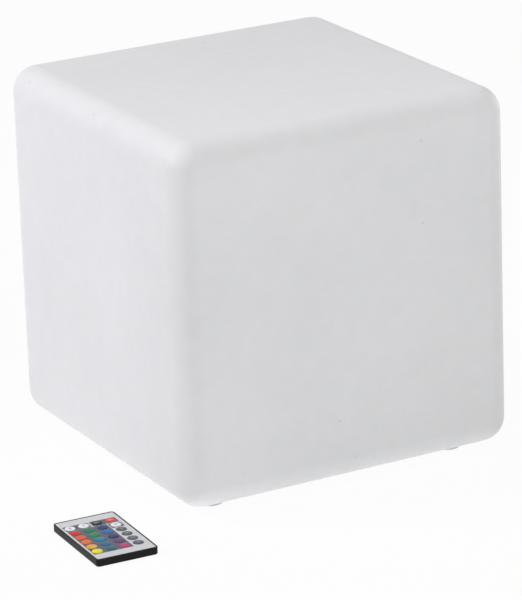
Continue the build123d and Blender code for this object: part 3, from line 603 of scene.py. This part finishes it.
foot_profile = rounded_path(
    [
        (0, 0, 0),
        (FOOT_RADIUS, 0, FOOT_ROUNDING),
        (FOOT_RADIUS, FOOT_HEIGHT + HAIR, FOOT_FILLET),
        (FOOT_FLARE, FOOT_HEIGHT + HAIR, 0),
        (FOOT_FLARE, FOOT_HEIGHT + WALL / 2, 0),
        (0, FOOT_HEIGHT + WALL / 2, 0),
    ],
    steps=8,
)
boss_profile = rounded_path(
    [
        (0, SEAT_BOTTOM + WALL / 2, 0),
        (BOSS_RADIUS, SEAT_BOTTOM + WALL / 2, 0),
        (BOSS_RADIUS, BOSS_TOP, LIP_ROUNDING),
        (0, BOSS_TOP, 0),
    ]
)
foot_hollow = drum_profile(FOOT_RADIUS - WALL, WALL, HOLLOW_TOP)
insert_hole = drum_profile(INSERT_RADIUS, SEAT_BOTTOM - 1 * MM, INSERT_TOP)
foot_places = [(x, y) for x in (-FOOT_PLACE, FOOT_PLACE) for y in (-FOOT_PLACE, FOOT_PLACE)]
boss_places = on_circle(SCREW_CIRCLE, SCREW_COUNT)
print("feet", len(foot_places), "bosses", len(boss_places))

# %% [markdown]
# The feet and bosses are joined to the shell, and their hollows are cut out of it. The exact
# boolean can leave edges far shorter than a hair, so these are closed up at the end.

# %% Join, cut and clean the shell
SHORTEST_EDGE = 0.002 * MM


def boolean(piece, patches, operation):
    """Joins closed patches to a piece, or cuts them out of it, exactly, and keeps the result.

    Removing the tool's mesh removes the tool as well.
    """
    tool = new_piece("boolean_tool", patches, "milky_polyethylene")
    modifier = piece.modifiers.new(operation, "BOOLEAN")
    modifier.operation = operation
    modifier.solver = "EXACT"
    modifier.object = tool
    evaluated = piece.evaluated_get(bpy.context.evaluated_depsgraph_get())
    result = bpy.data.meshes.new_from_object(evaluated)
    piece.modifiers.clear()
    old, piece.data = piece.data, result
    for mesh in (old, tool.data):
        bpy.data.meshes.remove(mesh)


boolean(
    cube_shell,
    [revolve(foot_profile, middle, 64) for middle in foot_places]
    + [revolve(boss_profile, middle, 32) for middle in boss_places],
    "UNION",
)
boolean(
    cube_shell,
    [revolve(foot_hollow, middle, 48) for middle in foot_places]
    + [revolve(insert_hole, middle, 32) for middle in boss_places],
    "DIFFERENCE",
)

cleaned = bmesh.new()
cleaned.from_mesh(cube_shell.data)
bmesh.ops.dissolve_degenerate(cleaned, dist=SHORTEST_EDGE, edges=cleaned.edges)
cleaned.to_mesh(cube_shell.data)
cleaned.free()
cube_shell.data.name = "cube_shell"
cube_shell.data.set_sharp_from_angle(angle=radians(CREASE))
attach(cube_shell, "light")
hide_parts("shell")
print("cube", len(cube_shell.data.polygons), "faces")

# %% [markdown]
# ## Moulded plastics
#
# Most small pieces are injection moulded. Their finish is one recipe with its own values: a
# base colour that drifts a little, a fine spark-eroded grain from the tool, which is deeper on
# matt pieces, and rare dust specks.

# %% Plastics
GRAIN_SCALE = 1800.0
DUST_GREY = (0.3, 0.3, 0.29, 1)
DUST_STRENGTH = 0.35
DRIFT_LIFT = 0.004
GLOSS_DRIFT = 0.06
GRAIN_STRENGTH = 0.6


def plastic(name, colour, drift, roughness, depth, **extra):
    """A moulded plastic: its colour, how far that drifts, its gloss and its grain's depth."""
    tree, shader, place = new_material(name, Roughness=roughness, **extra)
    melt = use_group(tree, clouds, Vector=place, Scale=90.0)
    dust = use_group(tree, specks, Vector=place, Scale=700.0, Share=0.02, Reach=0.12)
    darker, lighter = shaded(colour, 1 - drift), shaded(colour, 1 + drift, DRIFT_LIFT)
    blend = mix_colours(tree, melt, darker, lighter)
    dusty = calculate(tree, "MULTIPLY", dust, DUST_STRENGTH)
    blend = mix_colours(tree, dusty, blend, DUST_GREY)
    tool_grain = use_group(tree, grain, Vector=place, Scale=GRAIN_SCALE)
    add_bump(tree, shader, tool_grain, depth * MM, GRAIN_STRENGTH)
    low, high = roughness - GLOSS_DRIFT, roughness + GLOSS_DRIFT
    rough = remap(tree, tool_grain, *NOISE_LIMITS, low, high)
    fill(tree, shader, Base_Color=blend, Roughness=rough)


CLEAR = "Transmission_Weight"
# Each row is a colour, its drift, the roughness, the grain's depth in mm, and anything more.
PLASTICS = {
    "case_black": ((0.005, 0.005, 0.0055), 0.12, 0.45, 0.03, {"Specular_IOR_Level": 0.16}),
    "housing_white": ((0.72, 0.72, 0.71), 0.025, 0.45, 0.04, {}),
    "button_grey": ((0.30, 0.31, 0.32), 0.04, 0.4, 0.02, {}),
    "cradle_black": ((0.02, 0.02, 0.022), 0.12, 0.5, 0.04, {}),
    "component_black": ((0.014, 0.014, 0.015), 0.12, 0.5, 0.02, {}),
    "plug_rubber": ((0.03, 0.03, 0.032), 0.12, 0.62, 0.03, {}),
    "silicone": ((0.45, 0.46, 0.47), 0.04, 0.5, 0.02, {}),
    "frosted_dome": ((0.80, 0.80, 0.80), 0.02, 0.55, 0.03, {}),
    "lead_red": ((0.45, 0.012, 0.01), 0.12, 0.38, 0.01, {}),
    "lead_white": ((0.62, 0.62, 0.6), 0.03, 0.38, 0.01, {}),
    "clear_guide": ((0.85, 0.87, 0.88), 0.02, 0.15, 0.005, {CLEAR: 0.8}),
    "emitter_clear": ((0.62, 0.66, 0.72), 0.12, 0.12, 0.004, {CLEAR: 0.7}),
}
for name, (*row, more) in PLASTICS.items():
    plastic(name, *row, **more)
print("plastics", len(PLASTICS))

# %% [markdown]
# ## Metals
#
# The screws are bright zinc, the inserts are brass, and the domes, contacts and the coin cell
# are stainless or nickel. All have brushed lines, and handling leaves a slow drift in their
# gloss.

# %% Metals
LINE_SCALE = 900.0
LINE_DEPTH = 0.01 * MM
LINE_SHADE = 0.78
POLISHED, HANDLED = -0.08, 0.1


def metal(name, colour, roughness):
    """A metal whose colour follows brushed lines, and whose gloss drifts slowly."""
    tree, shader, place = new_material(name, Metallic=1.0)
    lines = use_group(tree, brushed, Vector=place, Scale=LINE_SCALE)
    handled = use_group(tree, clouds, Vector=place, Scale=160.0)
    lined = mix_colours(tree, lines, shaded(colour, LINE_SHADE), shaded(colour, 1.0))
    rough = remap(tree, handled, 0.0, 1.0, roughness + POLISHED, roughness + HANDLED)
    fill(tree, shader, Base_Color=lined, Roughness=rough)
    add_bump(tree, shader, lines, LINE_DEPTH, 0.5)


METALS = {
    "insert_brass": ((0.78, 0.55, 0.24), 0.3),
    "screw_steel": ((0.70, 0.70, 0.69), 0.28),
    "spring_steel": ((0.66, 0.66, 0.65), 0.25),
    "coin_steel": ((0.74, 0.74, 0.72), 0.24),
}
for name, row in METALS.items():
    metal(name, *row)
print("metals", list(METALS))

# %% [markdown]
# ## Circuit boards
#
# A board's green is a thin lacquer over copper, so the tracks show as paler lines. The light
# board's lacquer is white.

# %% Boards
LACQUER_SHADE = 0.8
TRACK_DEPTH = 0.03 * MM


def board(name, lacquer, track, roughness):
    """A lacquered board whose copper tracks are the joints of a wall of uneven bricks."""
    tree, shader, place = new_material(name, Roughness=roughness, Coat_Weight=0.3)
    tracks = add_node(
        tree,
        "ShaderNodeTexBrick",
        {"offset": 0.37, "offset_frequency": 3, "squash": 0.6, "squash_frequency": 2},
        Vector=place,
        Scale=100.0,
        Mortar_Size=0.022,
        Mortar_Smooth=0.2,
        Brick_Width=0.9,
        Row_Height=0.34,
    ).outputs["Fac"]
    thick = use_group(tree, clouds, Vector=place, Scale=60.0)
    base = mix_colours(tree, thick, shaded(lacquer, LACQUER_SHADE), lacquer)
    fill(tree, shader, Base_Color=mix_colours(tree, tracks, base, track))
    add_bump(tree, shader, tracks, TRACK_DEPTH, 0.6)


BOARDS = {
    "circuit_green": ((0.012, 0.13, 0.045, 1), (0.03, 0.22, 0.08, 1), 0.3),
    "light_board": ((0.78, 0.78, 0.76, 1), (0.70, 0.70, 0.67, 1), 0.35),
}
for name, row in BOARDS.items():
    board(name, *row)
print("boards", list(BOARDS))

# %% [markdown]
# ## Cells, webbing and phosphor
#
# A cell wears a shrunk plastic sleeve with a lighter band, scuffed a little. The strap is
# woven, so it has ribs across it. Phosphor is a yellow powder in resin.

# %% Sleeve, strap and phosphor
SLEEVE_BLUE = (0.03, 0.14, 0.34, 1)
SLEEVE_BAND = (0.62, 0.63, 0.62, 1)
SCUFF_GREY = (0.5, 0.5, 0.5, 1)
SCUFF_STRENGTH = 0.12
SCUFF_DEPTH = 0.1 * MM
BAND_END = -19 * MM
WEB_DARK = (0.008, 0.008, 0.009, 1)
WEB_PALE = (0.035, 0.035, 0.038, 1)
RIB_DEPTH = 0.12 * MM
PHOSPHOR_DARK = (0.72, 0.52, 0.10, 1)
PHOSPHOR_PALE = (0.80, 0.66, 0.28, 1)
POWDER_DEPTH = 0.02 * MM

tree, shader, place = new_material("cell_sleeve", Roughness=0.3, Coat_Weight=0.2)
along = add_node(tree, "ShaderNodeSeparateXYZ", Vector=place).outputs["X"]
band = calculate(tree, "LESS_THAN", along, BAND_END)
sleeve = mix_colours(tree, band, SLEEVE_BLUE, SLEEVE_BAND)
wear = use_group(tree, clouds, Vector=place, Scale=120.0)
scuffed = calculate(tree, "MULTIPLY", wear, SCUFF_STRENGTH)
fill(tree, shader, Base_Color=mix_colours(tree, scuffed, sleeve, SCUFF_GREY))
add_bump(tree, shader, wear, SCUFF_DEPTH, 0.4)

tree, shader, place = new_material("strap_web", Roughness=0.8, Sheen_Weight=0.3)
ribs = add_node(
    tree,
    "ShaderNodeTexWave",
    {"bands_direction": "Y"},
    Vector=place,
    Scale=300.0,
    Distortion=0.6,
    Detail=1.0,
).outputs["Fac"]
fibres = use_group(tree, grain, Vector=place, Scale=1500.0)
fill(tree, shader, Base_Color=mix_colours(tree, ribs, WEB_DARK, WEB_PALE))
add_bump(tree, shader, calculate(tree, "ADD", ribs, fibres), RIB_DEPTH, 0.8)

tree, shader, place = new_material("chip_phosphor", Roughness=0.35, Coat_Weight=0.2)
powder = use_group(tree, specks, Vector=place, Scale=2500.0, Share=0.5, Reach=0.5)
fill(tree, shader, Base_Color=mix_colours(tree, powder, PHOSPHOR_DARK, PHOSPHOR_PALE))
add_bump(tree, shader, powder, POWDER_DEPTH, 0.5)
print("finishes so far", len(finishes))

# %% [markdown]
# ## The handset's face
#
# The face is a sheet of silver-painted plastic with a fine sparkle. A near-white band round its
# edge, outside the inner face, is a painted highlight. Dark grey panels are printed on it: two
# over the brightness and power keys, one under the white key, and a large one round the colour
# keys. The pattern is laid in the handset's own frame, so a Mapping node takes away the
# handset's place and turn first.

# %% Face finish
HANDSET_PLACE = (-218.5 * MM, -139.7 * MM)
HANDSET_YAW = radians(-2.6)
SILVER = (0.74, 0.75, 0.755, 1)
SILVER_DARK = (0.58, 0.59, 0.595, 1)
# A near-white painted highlight for the band round the face's edge.
RIM_HIGHLIGHT = (0.90, 0.91, 0.91, 1)
PANEL_GREY = (0.085, 0.098, 0.112, 1)
PANEL_PALE = shaded(PANEL_GREY, 1.25)
FLAKE_LIMITS = (0.35, 0.65)
METAL_SHARE = 0.25
INK_SHARE = 0.5
FLAKE_DEPTH = 0.02 * MM
EDGE = 0.12
# Each rectangle is its middle, half sizes, corner and edge in millimetres.
INNER_FACE = (0.0, 0.0, 24.8, 41.3, 1.8, EDGE)
PANELS = (
    (-12.4, 26.0, 10.6, 5.0, 1.2, EDGE),
    (10.6, 26.0, 11.0, 5.0, 1.2, EDGE),
    (16.3, 15.3, 5.4, 4.9, 1.6, EDGE),
    (-6.4, -5.35, 16.6, 26.1, 1.2, EDGE),
)

tree, shader, place = new_material("face_silver", Roughness=0.42, Specular_IOR_Level=0.3)
handset_frame = add_node(
    tree,
    "ShaderNodeMapping",
    {"vector_type": "TEXTURE"},
    Vector=place,
    Location=(*HANDSET_PLACE, 0),
    Rotation=(0, 0, HANDSET_YAW),
).outputs[0]
flakes = use_group(tree, grain, Vector=handset_frame, Scale=2600.0)
paint = mix_colours(tree, remap(tree, flakes, *FLAKE_LIMITS), SILVER_DARK, SILVER)


def printed_panel(rectangle):
    """The mask of one rounded rectangle."""
    sizes = {label: size * MM for label, size in zip(PANEL_INPUTS, rectangle)}
    return use_group(tree, panel, Vector=handset_frame, **sizes)


# Outside the inner face, the edge band is painted near white as a highlight.
inner = printed_panel(INNER_FACE)
paint = mix_colours(tree, inner, RIM_HIGHLIGHT, paint)
printed = 0.0
for rectangle in PANELS:
    printed = calculate(tree, "MAXIMUM", printed, printed_panel(rectangle))
ink = mix_colours(tree, flakes, PANEL_GREY, PANEL_PALE)
paint = mix_colours(tree, printed, paint, ink)
bare_paint = calculate(tree, "SUBTRACT", inner, printed)
metallic = calculate(tree, "MULTIPLY", bare_paint, METAL_SHARE)
metallic = calculate(tree, "MAXIMUM", metallic, 0.0)
fill(tree, shader, Base_Color=paint, Metallic=metallic)
face_height = calculate(tree, "MULTIPLY_ADD", printed, INK_SHARE, flakes)
add_bump(tree, shader, face_height, FLAKE_DEPTH, 0.5)
dress("remote_face", "face_silver")

# %% [markdown]
# ## The keys
#
# A key is a turned shape: a skirt that is caught under the face, a drum, a soft shoulder and a
# low crown like a shallow lens. The crown's height falls with the square of the distance from
# the middle. Each key has its own colour, and the pads wear a satin skin.

# %% Key caps
WHITE_PAD = (0.84, 0.85, 0.86)
MODE_PAD = (0.085, 0.105, 0.115)
KEY_COLOURS = {
    "brighter": WHITE_PAD,
    "dimmer": WHITE_PAD,
    "off": (0.006, 0.008, 0.01),
    "on": (0.76, 0.06, 0.025),
    "red": (0.62, 0.022, 0.012),
    "green": (0.006, 0.17, 0.085),
    "navy": (0.012, 0.04, 0.19),
    "white": WHITE_PAD,
    "vermilion": (0.80, 0.095, 0.02),
    "emerald": (0.006, 0.22, 0.085),
    "blue": (0.006, 0.12, 0.37),
    "flash": MODE_PAD,
    "orange": (0.82, 0.155, 0.025),
    "teal": (0.006, 0.20, 0.31),
    "indigo": (0.018, 0.015, 0.1),
    "strobe": MODE_PAD,
    "amber": (0.86, 0.40, 0.024),
    "petrol": (0.006, 0.14, 0.27),
    "violet": (0.105, 0.038, 0.145),
    "fade": MODE_PAD,
    "yellow": (0.84, 0.80, 0.015),
    "lagoon": (0.006, 0.12, 0.18),
    "pink": (0.52, 0.038, 0.18),
    "smooth": MODE_PAD,
}
KEY_RADIUS = 4.25 * MM
SKIRT_RADIUS = 4.75 * MM
NUB_RADIUS = 1.4 * MM
NUB_BOTTOM = 5.1 * MM
SKIRT_BOTTOM = 5.25 * MM
SKIRT_TOP = 5.7 * MM
SHOULDER = 6.6 * MM
KEY_TOP = 6.85 * MM
SHOULDER_ROUNDING = 0.3 * MM
CROWN_RINGS = 8
KEY_SEGMENTS = 56
CAP_CREASE = 40

drum = rounded_path(
    [
        (0, NUB_BOTTOM, 0),
        (NUB_RADIUS, NUB_BOTTOM, 0),
        (NUB_RADIUS, SKIRT_BOTTOM, 0),
        (SKIRT_RADIUS, SKIRT_BOTTOM, 0),
        (SKIRT_RADIUS, SKIRT_TOP, 0),
        (KEY_RADIUS, SKIRT_TOP, 0),
        (KEY_RADIUS, SHOULDER, SHOULDER_ROUNDING),
        (KEY_RADIUS - 2 * SHOULDER_ROUNDING, SHOULDER, 0),
    ],
    steps=5,
)
crown_start = KEY_RADIUS - SHOULDER_ROUNDING
crown_radius = np.linspace(crown_start, 0, CROWN_RINGS + 1)
crown_height = KEY_TOP - (KEY_TOP - SHOULDER) * (crown_radius / crown_start) ** 2
key_profile = np.concatenate([drum[:-1], np.stack([crown_radius, crown_height], axis=-1)[1:]])


def key_middle(name):
    """The middle of a key, seen from above."""
    low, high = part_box(f"key_{name}")
    return (low.x + high.x) / 2, (low.y + high.y) / 2


for name, colour in KEY_COLOURS.items():
    plastic(f"pad_{name}", colour, 0.06, 0.36, 0.012, Specular_IOR_Level=0.25)
    turned = [revolve(key_profile, key_middle(name), KEY_SEGMENTS)]
    cap = new_piece(f"cap_{name}", turned, f"pad_{name}", FINE_WELD, CAP_CREASE)
    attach(cap, f"key_{name}")
    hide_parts(f"key_{name}")
print("caps", len(KEY_COLOURS))

# %% [markdown]
# ## The prints on the keys
#
# Thin ink stands on some keys: OFF and ON, up and down signs with a ring for brighter and
# dimmer, and a bolt, steps, a zigzag and a wave for the four modes. A print is a stroke of
# even width along a path, laid on the crown. These are the paths, in millimetres from the
# key's middle.

# %% Paths of the key prints
STROKE = 0.36
LETTER = 1.05
LETTER_BOWL = 0.62
DOT = 0.5


def ring_path(x, y, half_width, half_height, steps=24):
    """A closed ellipse: x + half width times cos angle, y + half height times sin angle."""
    angle = np.linspace(0, 2 * pi, steps + 1)
    return (x, y) + arrows(angle) * (half_width, half_height)


def letter_f(x):
    """The two strokes of an F whose stem is at x."""
    arm = [(x + 0.9, LETTER), (x, LETTER), (x, -LETTER)]
    return [arm, [(x + STROKE / 2, 0.05), (x + 0.75, 0.05)]]


STEPS = ((-2, -1), (-1, -1), (-1, 1), (0, 1), (0, -1), (1, -1), (1, 1), (2, 1))
wave_x = np.linspace(-1.8, 1.8, 33)
PRINTS = {
    "brighter": [ring_path(0, -0.6, 0.75, 0.75), [(-1.0, 0.8), (0, 1.7), (1.0, 0.8)]],
    "dimmer": [ring_path(0, 0.6, 0.75, 0.75), [(-1.0, -0.8), (0, -1.7), (1.0, -0.8)]],
    "off": [ring_path(-1.6, 0, LETTER_BOWL, LETTER)] + letter_f(-0.45) + letter_f(1.05),
    "on": [
        ring_path(-0.95, 0, LETTER_BOWL, LETTER),
        [(0.25, -LETTER), (0.25, LETTER), (1.4, -LETTER), (1.4, LETTER)],
    ],
    **dict.fromkeys(("red", "green", "navy"), [ring_path(0, 0, DOT, DOT)]),
    "white": [ring_path(0, 0, 1.3, 1.3, steps=4)],
    "flash": [[(0.4, 1.4), (-0.7, -0.1), (0.65, 0.1), (-0.4, -1.4)]],
    "strobe": [[(0.9 * step, 0.6 * high) for step, high in STEPS]],
    "fade": [[(-1.8, -0.6), (-0.6, 0.6), (0.6, -0.6), (1.8, 0.6)]],
    "smooth": [np.stack([wave_x, 0.6 * np.sin(wave_x * pi / 0.9)], axis=-1)],
}
PALE_PRINTS = ("off", "on", "flash", "strobe", "fade", "smooth")
print("paths", sum(len(paths) for paths in PRINTS.values()))

# %% [markdown]
# A stroke's edge points are the path's points moved to each side along the line that halves
# the path's turn. A limit keeps the tip of a sharp turn short.

# %% Key prints
KEY_CROWN = (KEY_TOP - SHOULDER) / crown_start**2
INK_TOP = KEY_TOP + 0.03 * MM
INK_ROOT = KEY_TOP - 0.05 * MM
MITRE_LIMIT = 1.7


def stroke_patches(path, centre, turn, outer, inner, width=STROKE, crown=0.0):
    """A closed thin solid along a path in millimetres, turned and laid on a level or crowned face.

    Its outer and inner faces are heights at the middle. The crown is how much they fall for
    each squared metre of distance from the middle.
    """
    path = np.asarray(path, float)
    closed = np.allclose(path[0], path[-1])
    runs = np.diff(path, axis=0)
    runs /= np.linalg.norm(runs, axis=1, keepdims=True)
    before = np.concatenate([runs[-1:] if closed else runs[:1], runs])
    after = np.concatenate([runs, runs[:1] if closed else runs[-1:]])
    sides = np.stack([-before[:, 1] - after[:, 1], before[:, 0] + after[:, 0]], axis=-1)
    sides /= np.linalg.norm(sides, axis=1, keepdims=True)
    lean = (sides * np.stack([-after[:, 1], after[:, 0]], axis=-1)).sum(axis=1, keepdims=True)
    sides *= np.minimum(1 / lean, MITRE_LIMIT) * width / 2
    edges = np.stack([path + sides, path - sides, path - sides, path + sides], axis=1) * MM
    height = np.array([outer, outer, inner, inner]) - crown * (edges**2).sum(axis=-1)
    x = centre[0] + edges[..., 0] * cos(turn) - edges[..., 1] * sin(turn)
    y = centre[1] + edges[..., 0] * sin(turn) + edges[..., 1] * cos(turn)
    strip = np.stack([x, y, height], axis=-1)
    patches = [patch(strip, close_columns=True)]
    if not closed:
        cap = np.array([[0, 1, 2, 3]])
        patches += [(strip[0], cap), (strip[-1], cap)]
    return patches


def strokes(paths, *place, **form):
    """The patches of all the strokes of a print."""
    return [piece for path in paths for piece in stroke_patches(path, *place, **form)]


plastic("print_dark", (0.03, 0.03, 0.032), 0.12, 0.5, 0.01)
plastic("print_pale", (0.50, 0.50, 0.50), 0.12, 0.5, 0.01)
for name, paths in PRINTS.items():
    patches = strokes(paths, key_middle(name), HANDSET_YAW, INK_TOP, INK_ROOT, crown=KEY_CROWN)
    pale = name in PALE_PRINTS
    finish = "print_pale" if pale else "print_dark"
    ink = new_piece(f"print_{name}", patches, finish, FINE_WELD)
    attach(ink, f"key_{name}")
print("prints", len(PRINTS))

# %% [markdown]
# ## Signs on the underside
#
# The button carries the usual power sign, a broken ring with a bar, and the plate beside the
# stopper carries a small bolt for charging. Both are wide strokes of dark ink that stand a
# very little proud.

# %% Underside signs
BUTTON_PLACE = (-20.0 * MM, 0.0)
BUTTON_BOTTOM = 8.2 * MM
PLATE_BOTTOM = 9.6 * MM
BOLT_PLACE = (20.0 * MM, 15.0 * MM)
SIGN_PROUD = 0.06 * MM
SIGN_ROOT = 0.1 * MM
SIGN_SCALE = 1.8
SIGN_STROKE = 0.9
RING_FROM, RING_TO, RING_POINTS = 125, 415, 29

open_ring = np.radians(np.linspace(RING_FROM, RING_TO, RING_POINTS))
power_sign = [
    2.0 * arrows(open_ring) * SIGN_SCALE,
    np.array([(0, 0.5), (0, 2.3)]) * SIGN_SCALE,
]
bolt_sign = [np.array([(0.7, 1.9), (-0.7, -0.2), (0.7, 0.2), (-0.7, -1.9)]) * SIGN_SCALE]
SIGNS = (
    ("sign_power", power_sign, BUTTON_PLACE, BUTTON_BOTTOM, "power_button"),
    ("sign_charge", bolt_sign, BOLT_PLACE, PLATE_BOTTOM, "light"),
)
for name, paths, middle, face_height, body in SIGNS:
    outer, inner = face_height - SIGN_PROUD, face_height + SIGN_ROOT
    patches = strokes(paths, middle, pi, outer, inner, width=SIGN_STROKE)
    sign = new_piece(name, patches, "print_dark", FINE_WELD)
    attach(sign, body)
print("signs", [sign_row[0] for sign_row in SIGNS])

# %% [markdown]
# ## The light chips
#
# A light chip is a white block whose round well is filled with yellow phosphor in clear resin.
# The block is a loft: each row is a square or a circle of the same angles, so the square's top
# runs into the well's rim without a gap.

# %% Light chips
CHIP_HALF = 2.5 * MM
CHIP_CHAMFER = 0.2 * MM
CHIP_BOTTOM = 67.6 * MM
CHIP_TOP = CHIP_BOTTOM + 1.6 * MM
WELL_RADIUS = 2.0 * MM
WELL_FLOOR_RADIUS = 1.75 * MM
WELL_FLOOR = CHIP_TOP - 0.4 * MM
FILL_GAP = 0.06 * MM
FILL_BEND = 0.6
CHIP_SEGMENTS = 40
CHIP_CIRCLES = ((38.0 * MM, 12), (22.0 * MM, 6))

chip_circle = arrows(even_angles(CHIP_SEGMENTS, np.radians(45)))
chip_square = chip_circle / np.abs(chip_circle).max(axis=-1, keepdims=True)
CHIP_ROWS = (
    (0.0, CHIP_BOTTOM, chip_circle),
    (CHIP_HALF, CHIP_BOTTOM, chip_square),
    (CHIP_HALF, CHIP_TOP - CHIP_CHAMFER, chip_square),
    (CHIP_HALF - CHIP_CHAMFER, CHIP_TOP, chip_square),
    (WELL_RADIUS, CHIP_TOP, chip_circle),
    (WELL_FLOOR_RADIUS, WELL_FLOOR, chip_circle),
    (0.0, WELL_FLOOR, chip_circle),
)
FILL_PROFILE = (
    (0.0, WELL_FLOOR),
    (WELL_FLOOR_RADIUS, WELL_FLOOR),
    (WELL_RADIUS - FILL_GAP, CHIP_TOP - 0.08 * MM),
    (WELL_RADIUS * FILL_BEND, CHIP_TOP - 0.12 * MM),
    (0.0, CHIP_TOP - 0.14 * MM),
)
chip_places = [middle for circle in CHIP_CIRCLES for middle in on_circle(*circle)]
chip_block = np.stack(
    [
        np.concatenate([size * shape, np.full((CHIP_SEGMENTS, 1), height)], axis=-1)
        for size, height, shape in CHIP_ROWS
    ]
)
plastic("chip_white", (0.78, 0.78, 0.76), 0.02, 0.4, 0.01)
blocks = [patch(chip_block + (x, y, 0), close_columns=True) for x, y in chip_places]
fills = [revolve(FILL_PROFILE, middle, CHIP_SEGMENTS) for middle in chip_places]
chip_blocks = new_piece("chip_blocks", blocks, "chip_white", FINE_WELD)
chip_fills = new_piece("chip_fills", fills, "chip_phosphor", FINE_WELD)
for piece in (chip_blocks, chip_fills):
    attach(piece, "light")
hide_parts("led_chips")

# %% [markdown]
# ## Dress the rest of the construction
#
# Every other piece keeps its shape and gets its finish here.

# %% Dress the construction
DRESSED = {
    "insert_brass": "insert_nuts",
    "screw_steel": "base_screws board_screws stack_screws",
    "silicone": "base_gasket button_seal",
    "housing_white": "module_housing",
    "frosted_dome": "led_dome",
    "light_board": "led_board",
    "component_black": "ir_receiver control_parts power_switch switch_plunger charge_socket"
    " remote_chip",
    "circuit_green": "control_board protection_board remote_board",
    "cell_sleeve": "battery_cells",
    "cradle_black": "battery_cradle",
    "strap_web": "battery_strap",
    "lead_red": "battery_leads",
    "lead_white": "light_leads",
    "clear_guide": "light_pipe",
    "button_grey": "power_button",
    "plug_rubber": "port_plug",
    "case_black": "remote_case battery_tray",
    "spring_steel": "key_domes battery_contacts",
    "emitter_clear": "ir_emitter",
    "coin_steel": "coin_cell",
}
for finish, pieces in DRESSED.items():
    for node_name in pieces.split():
        dress(node_name, finish)
print("dressed", sum(len(pieces.split()) for pieces in DRESSED.values()))

# %% [markdown]
# ## Floor and light
#
# The photograph is a cut-out on white. The floor is a pale sheet that the camera sees as
# white, but a part of it still takes the shadows, so the object stands on it. From below it is
# clear, so the underside can be looked at.

# %% Floor
FLOOR_HALF = 30.0
FLOOR_DROP = -0.1 * MM
FLOOR_CORNERS = ((-1, -1), (1, -1), (1, 1), (-1, 1))
PAPER = (0.80, 0.80, 0.80, 1)
PAPER_GLOW = 0.95
WHITE = (1, 1, 1, 1)


def bare_tree(owner):
    """The node tree of a material or a world, emptied."""
    owner.use_nodes = True
    owner.node_tree.nodes.clear()
    return owner.node_tree


def seen_rays(tree):
    """The Light Path node, and a value that is one for rays that show what the eye sees."""
    path = tree.nodes.new("ShaderNodeLightPath")
    seen = calculate(tree, "MAXIMUM", path.outputs["Is Camera Ray"], path.outputs["Is Glossy Ray"])
    return path, calculate(tree, "MAXIMUM", seen, path.outputs["Is Transmission Ray"])


floor_mesh = bpy.data.meshes.new("floor")
corners = [(x * FLOOR_HALF, y * FLOOR_HALF, FLOOR_DROP) for x, y in FLOOR_CORNERS]
floor_mesh.from_pydata(corners, [], [(0, 1, 2, 3)])
floor = add_object("floor", floor_mesh)
floor_finish = bpy.data.materials.new("floor_white")
tree = bare_tree(floor_finish)
paper = add_node(tree, "ShaderNodeBsdfDiffuse", Color=PAPER).outputs[0]
glow = add_node(tree, "ShaderNodeEmission", Color=WHITE, Strength=1.0).outputs[0]
path, seen = seen_rays(tree)
share = calculate(tree, "MULTIPLY", seen, PAPER_GLOW)
sheet = add_node(tree, "ShaderNodeMixShader", Fac=share, i1=paper, i2=glow).outputs[0]
clear = add_node(tree, "ShaderNodeBsdfTransparent").outputs[0]
below = tree.nodes.new("ShaderNodeNewGeometry").outputs["Backfacing"]
let_through = calculate(tree, "MAXIMUM", below, path.outputs["Is Shadow Ray"])
surface = add_node(tree, "ShaderNodeMixShader", Fac=let_through, i1=sheet, i2=clear)
add_node(tree, "ShaderNodeOutputMaterial", Surface=surface.outputs[0])
floor_mesh.materials.append(floor_finish)
print("floor", floor.name)

# %% [markdown]
# The sky is weak and even, but what is seen of it, straight on or in a reflection, is white.

# %% Sky
SKY_STRENGTH = 0.31

scene.world = scene.world or bpy.data.worlds.new("studio")
tree = bare_tree(scene.world)
_, seen = seen_rays(tree)
strength = remap(tree, seen, 0.0, 1.0, SKY_STRENGTH, 1.0)
sky = add_node(tree, "ShaderNodeBackground", Color=WHITE, Strength=strength)
add_node(tree, "ShaderNodeOutputWorld", Surface=sky.outputs[0])
print("sky", SKY_STRENGTH)

# %% [markdown]
# One slightly cool lamp on the left lights the face beside the handset. One in front lights
# the other, a low one fills the two faces behind, and one below lights the underside.

# %% Lamps
CUBE_CENTRE = (0, 0, CUBE_MIDDLE)
LEFT_COOL = (0.965, 0.95, 1.0)
# Each lamp is its name, place, aim, side, power and, where it isn't white, colour.
LAMPS = (
    ("left_lamp", (-2.2, 1.0, 1.9), CUBE_CENTRE, 0.9, 46.0, LEFT_COOL),
    ("front_lamp", (0.0, -1.2, 1.2), CUBE_CENTRE, 0.9, 8.5),
    ("back_lamp", (2.2, 0.5, 0.25), CUBE_CENTRE, 0.9, 12.0),
    ("under_lamp", (-0.3, -0.3, -1.6), (0, 0, 0), 1.6, 13.0),
)


def area_lamp(name, place, aim, side, power, colour=(1, 1, 1)):
    """A square lamp of the given side that shines from its place towards a point."""
    data = bpy.data.lights.new(name, "AREA")
    data.color = colour
    data.size = side
    data.energy = power
    place, aim = Vector(place), Vector(aim)
    turned = (aim - place).to_track_quat("-Z", "Y").to_matrix().to_4x4()
    add_object(name, data).matrix_world = Matrix.Translation(place) @ turned


for lamp_row in LAMPS:
    area_lamp(*lamp_row)
scene.view_settings.view_transform = "Standard"
print("lamps", len(LAMPS))
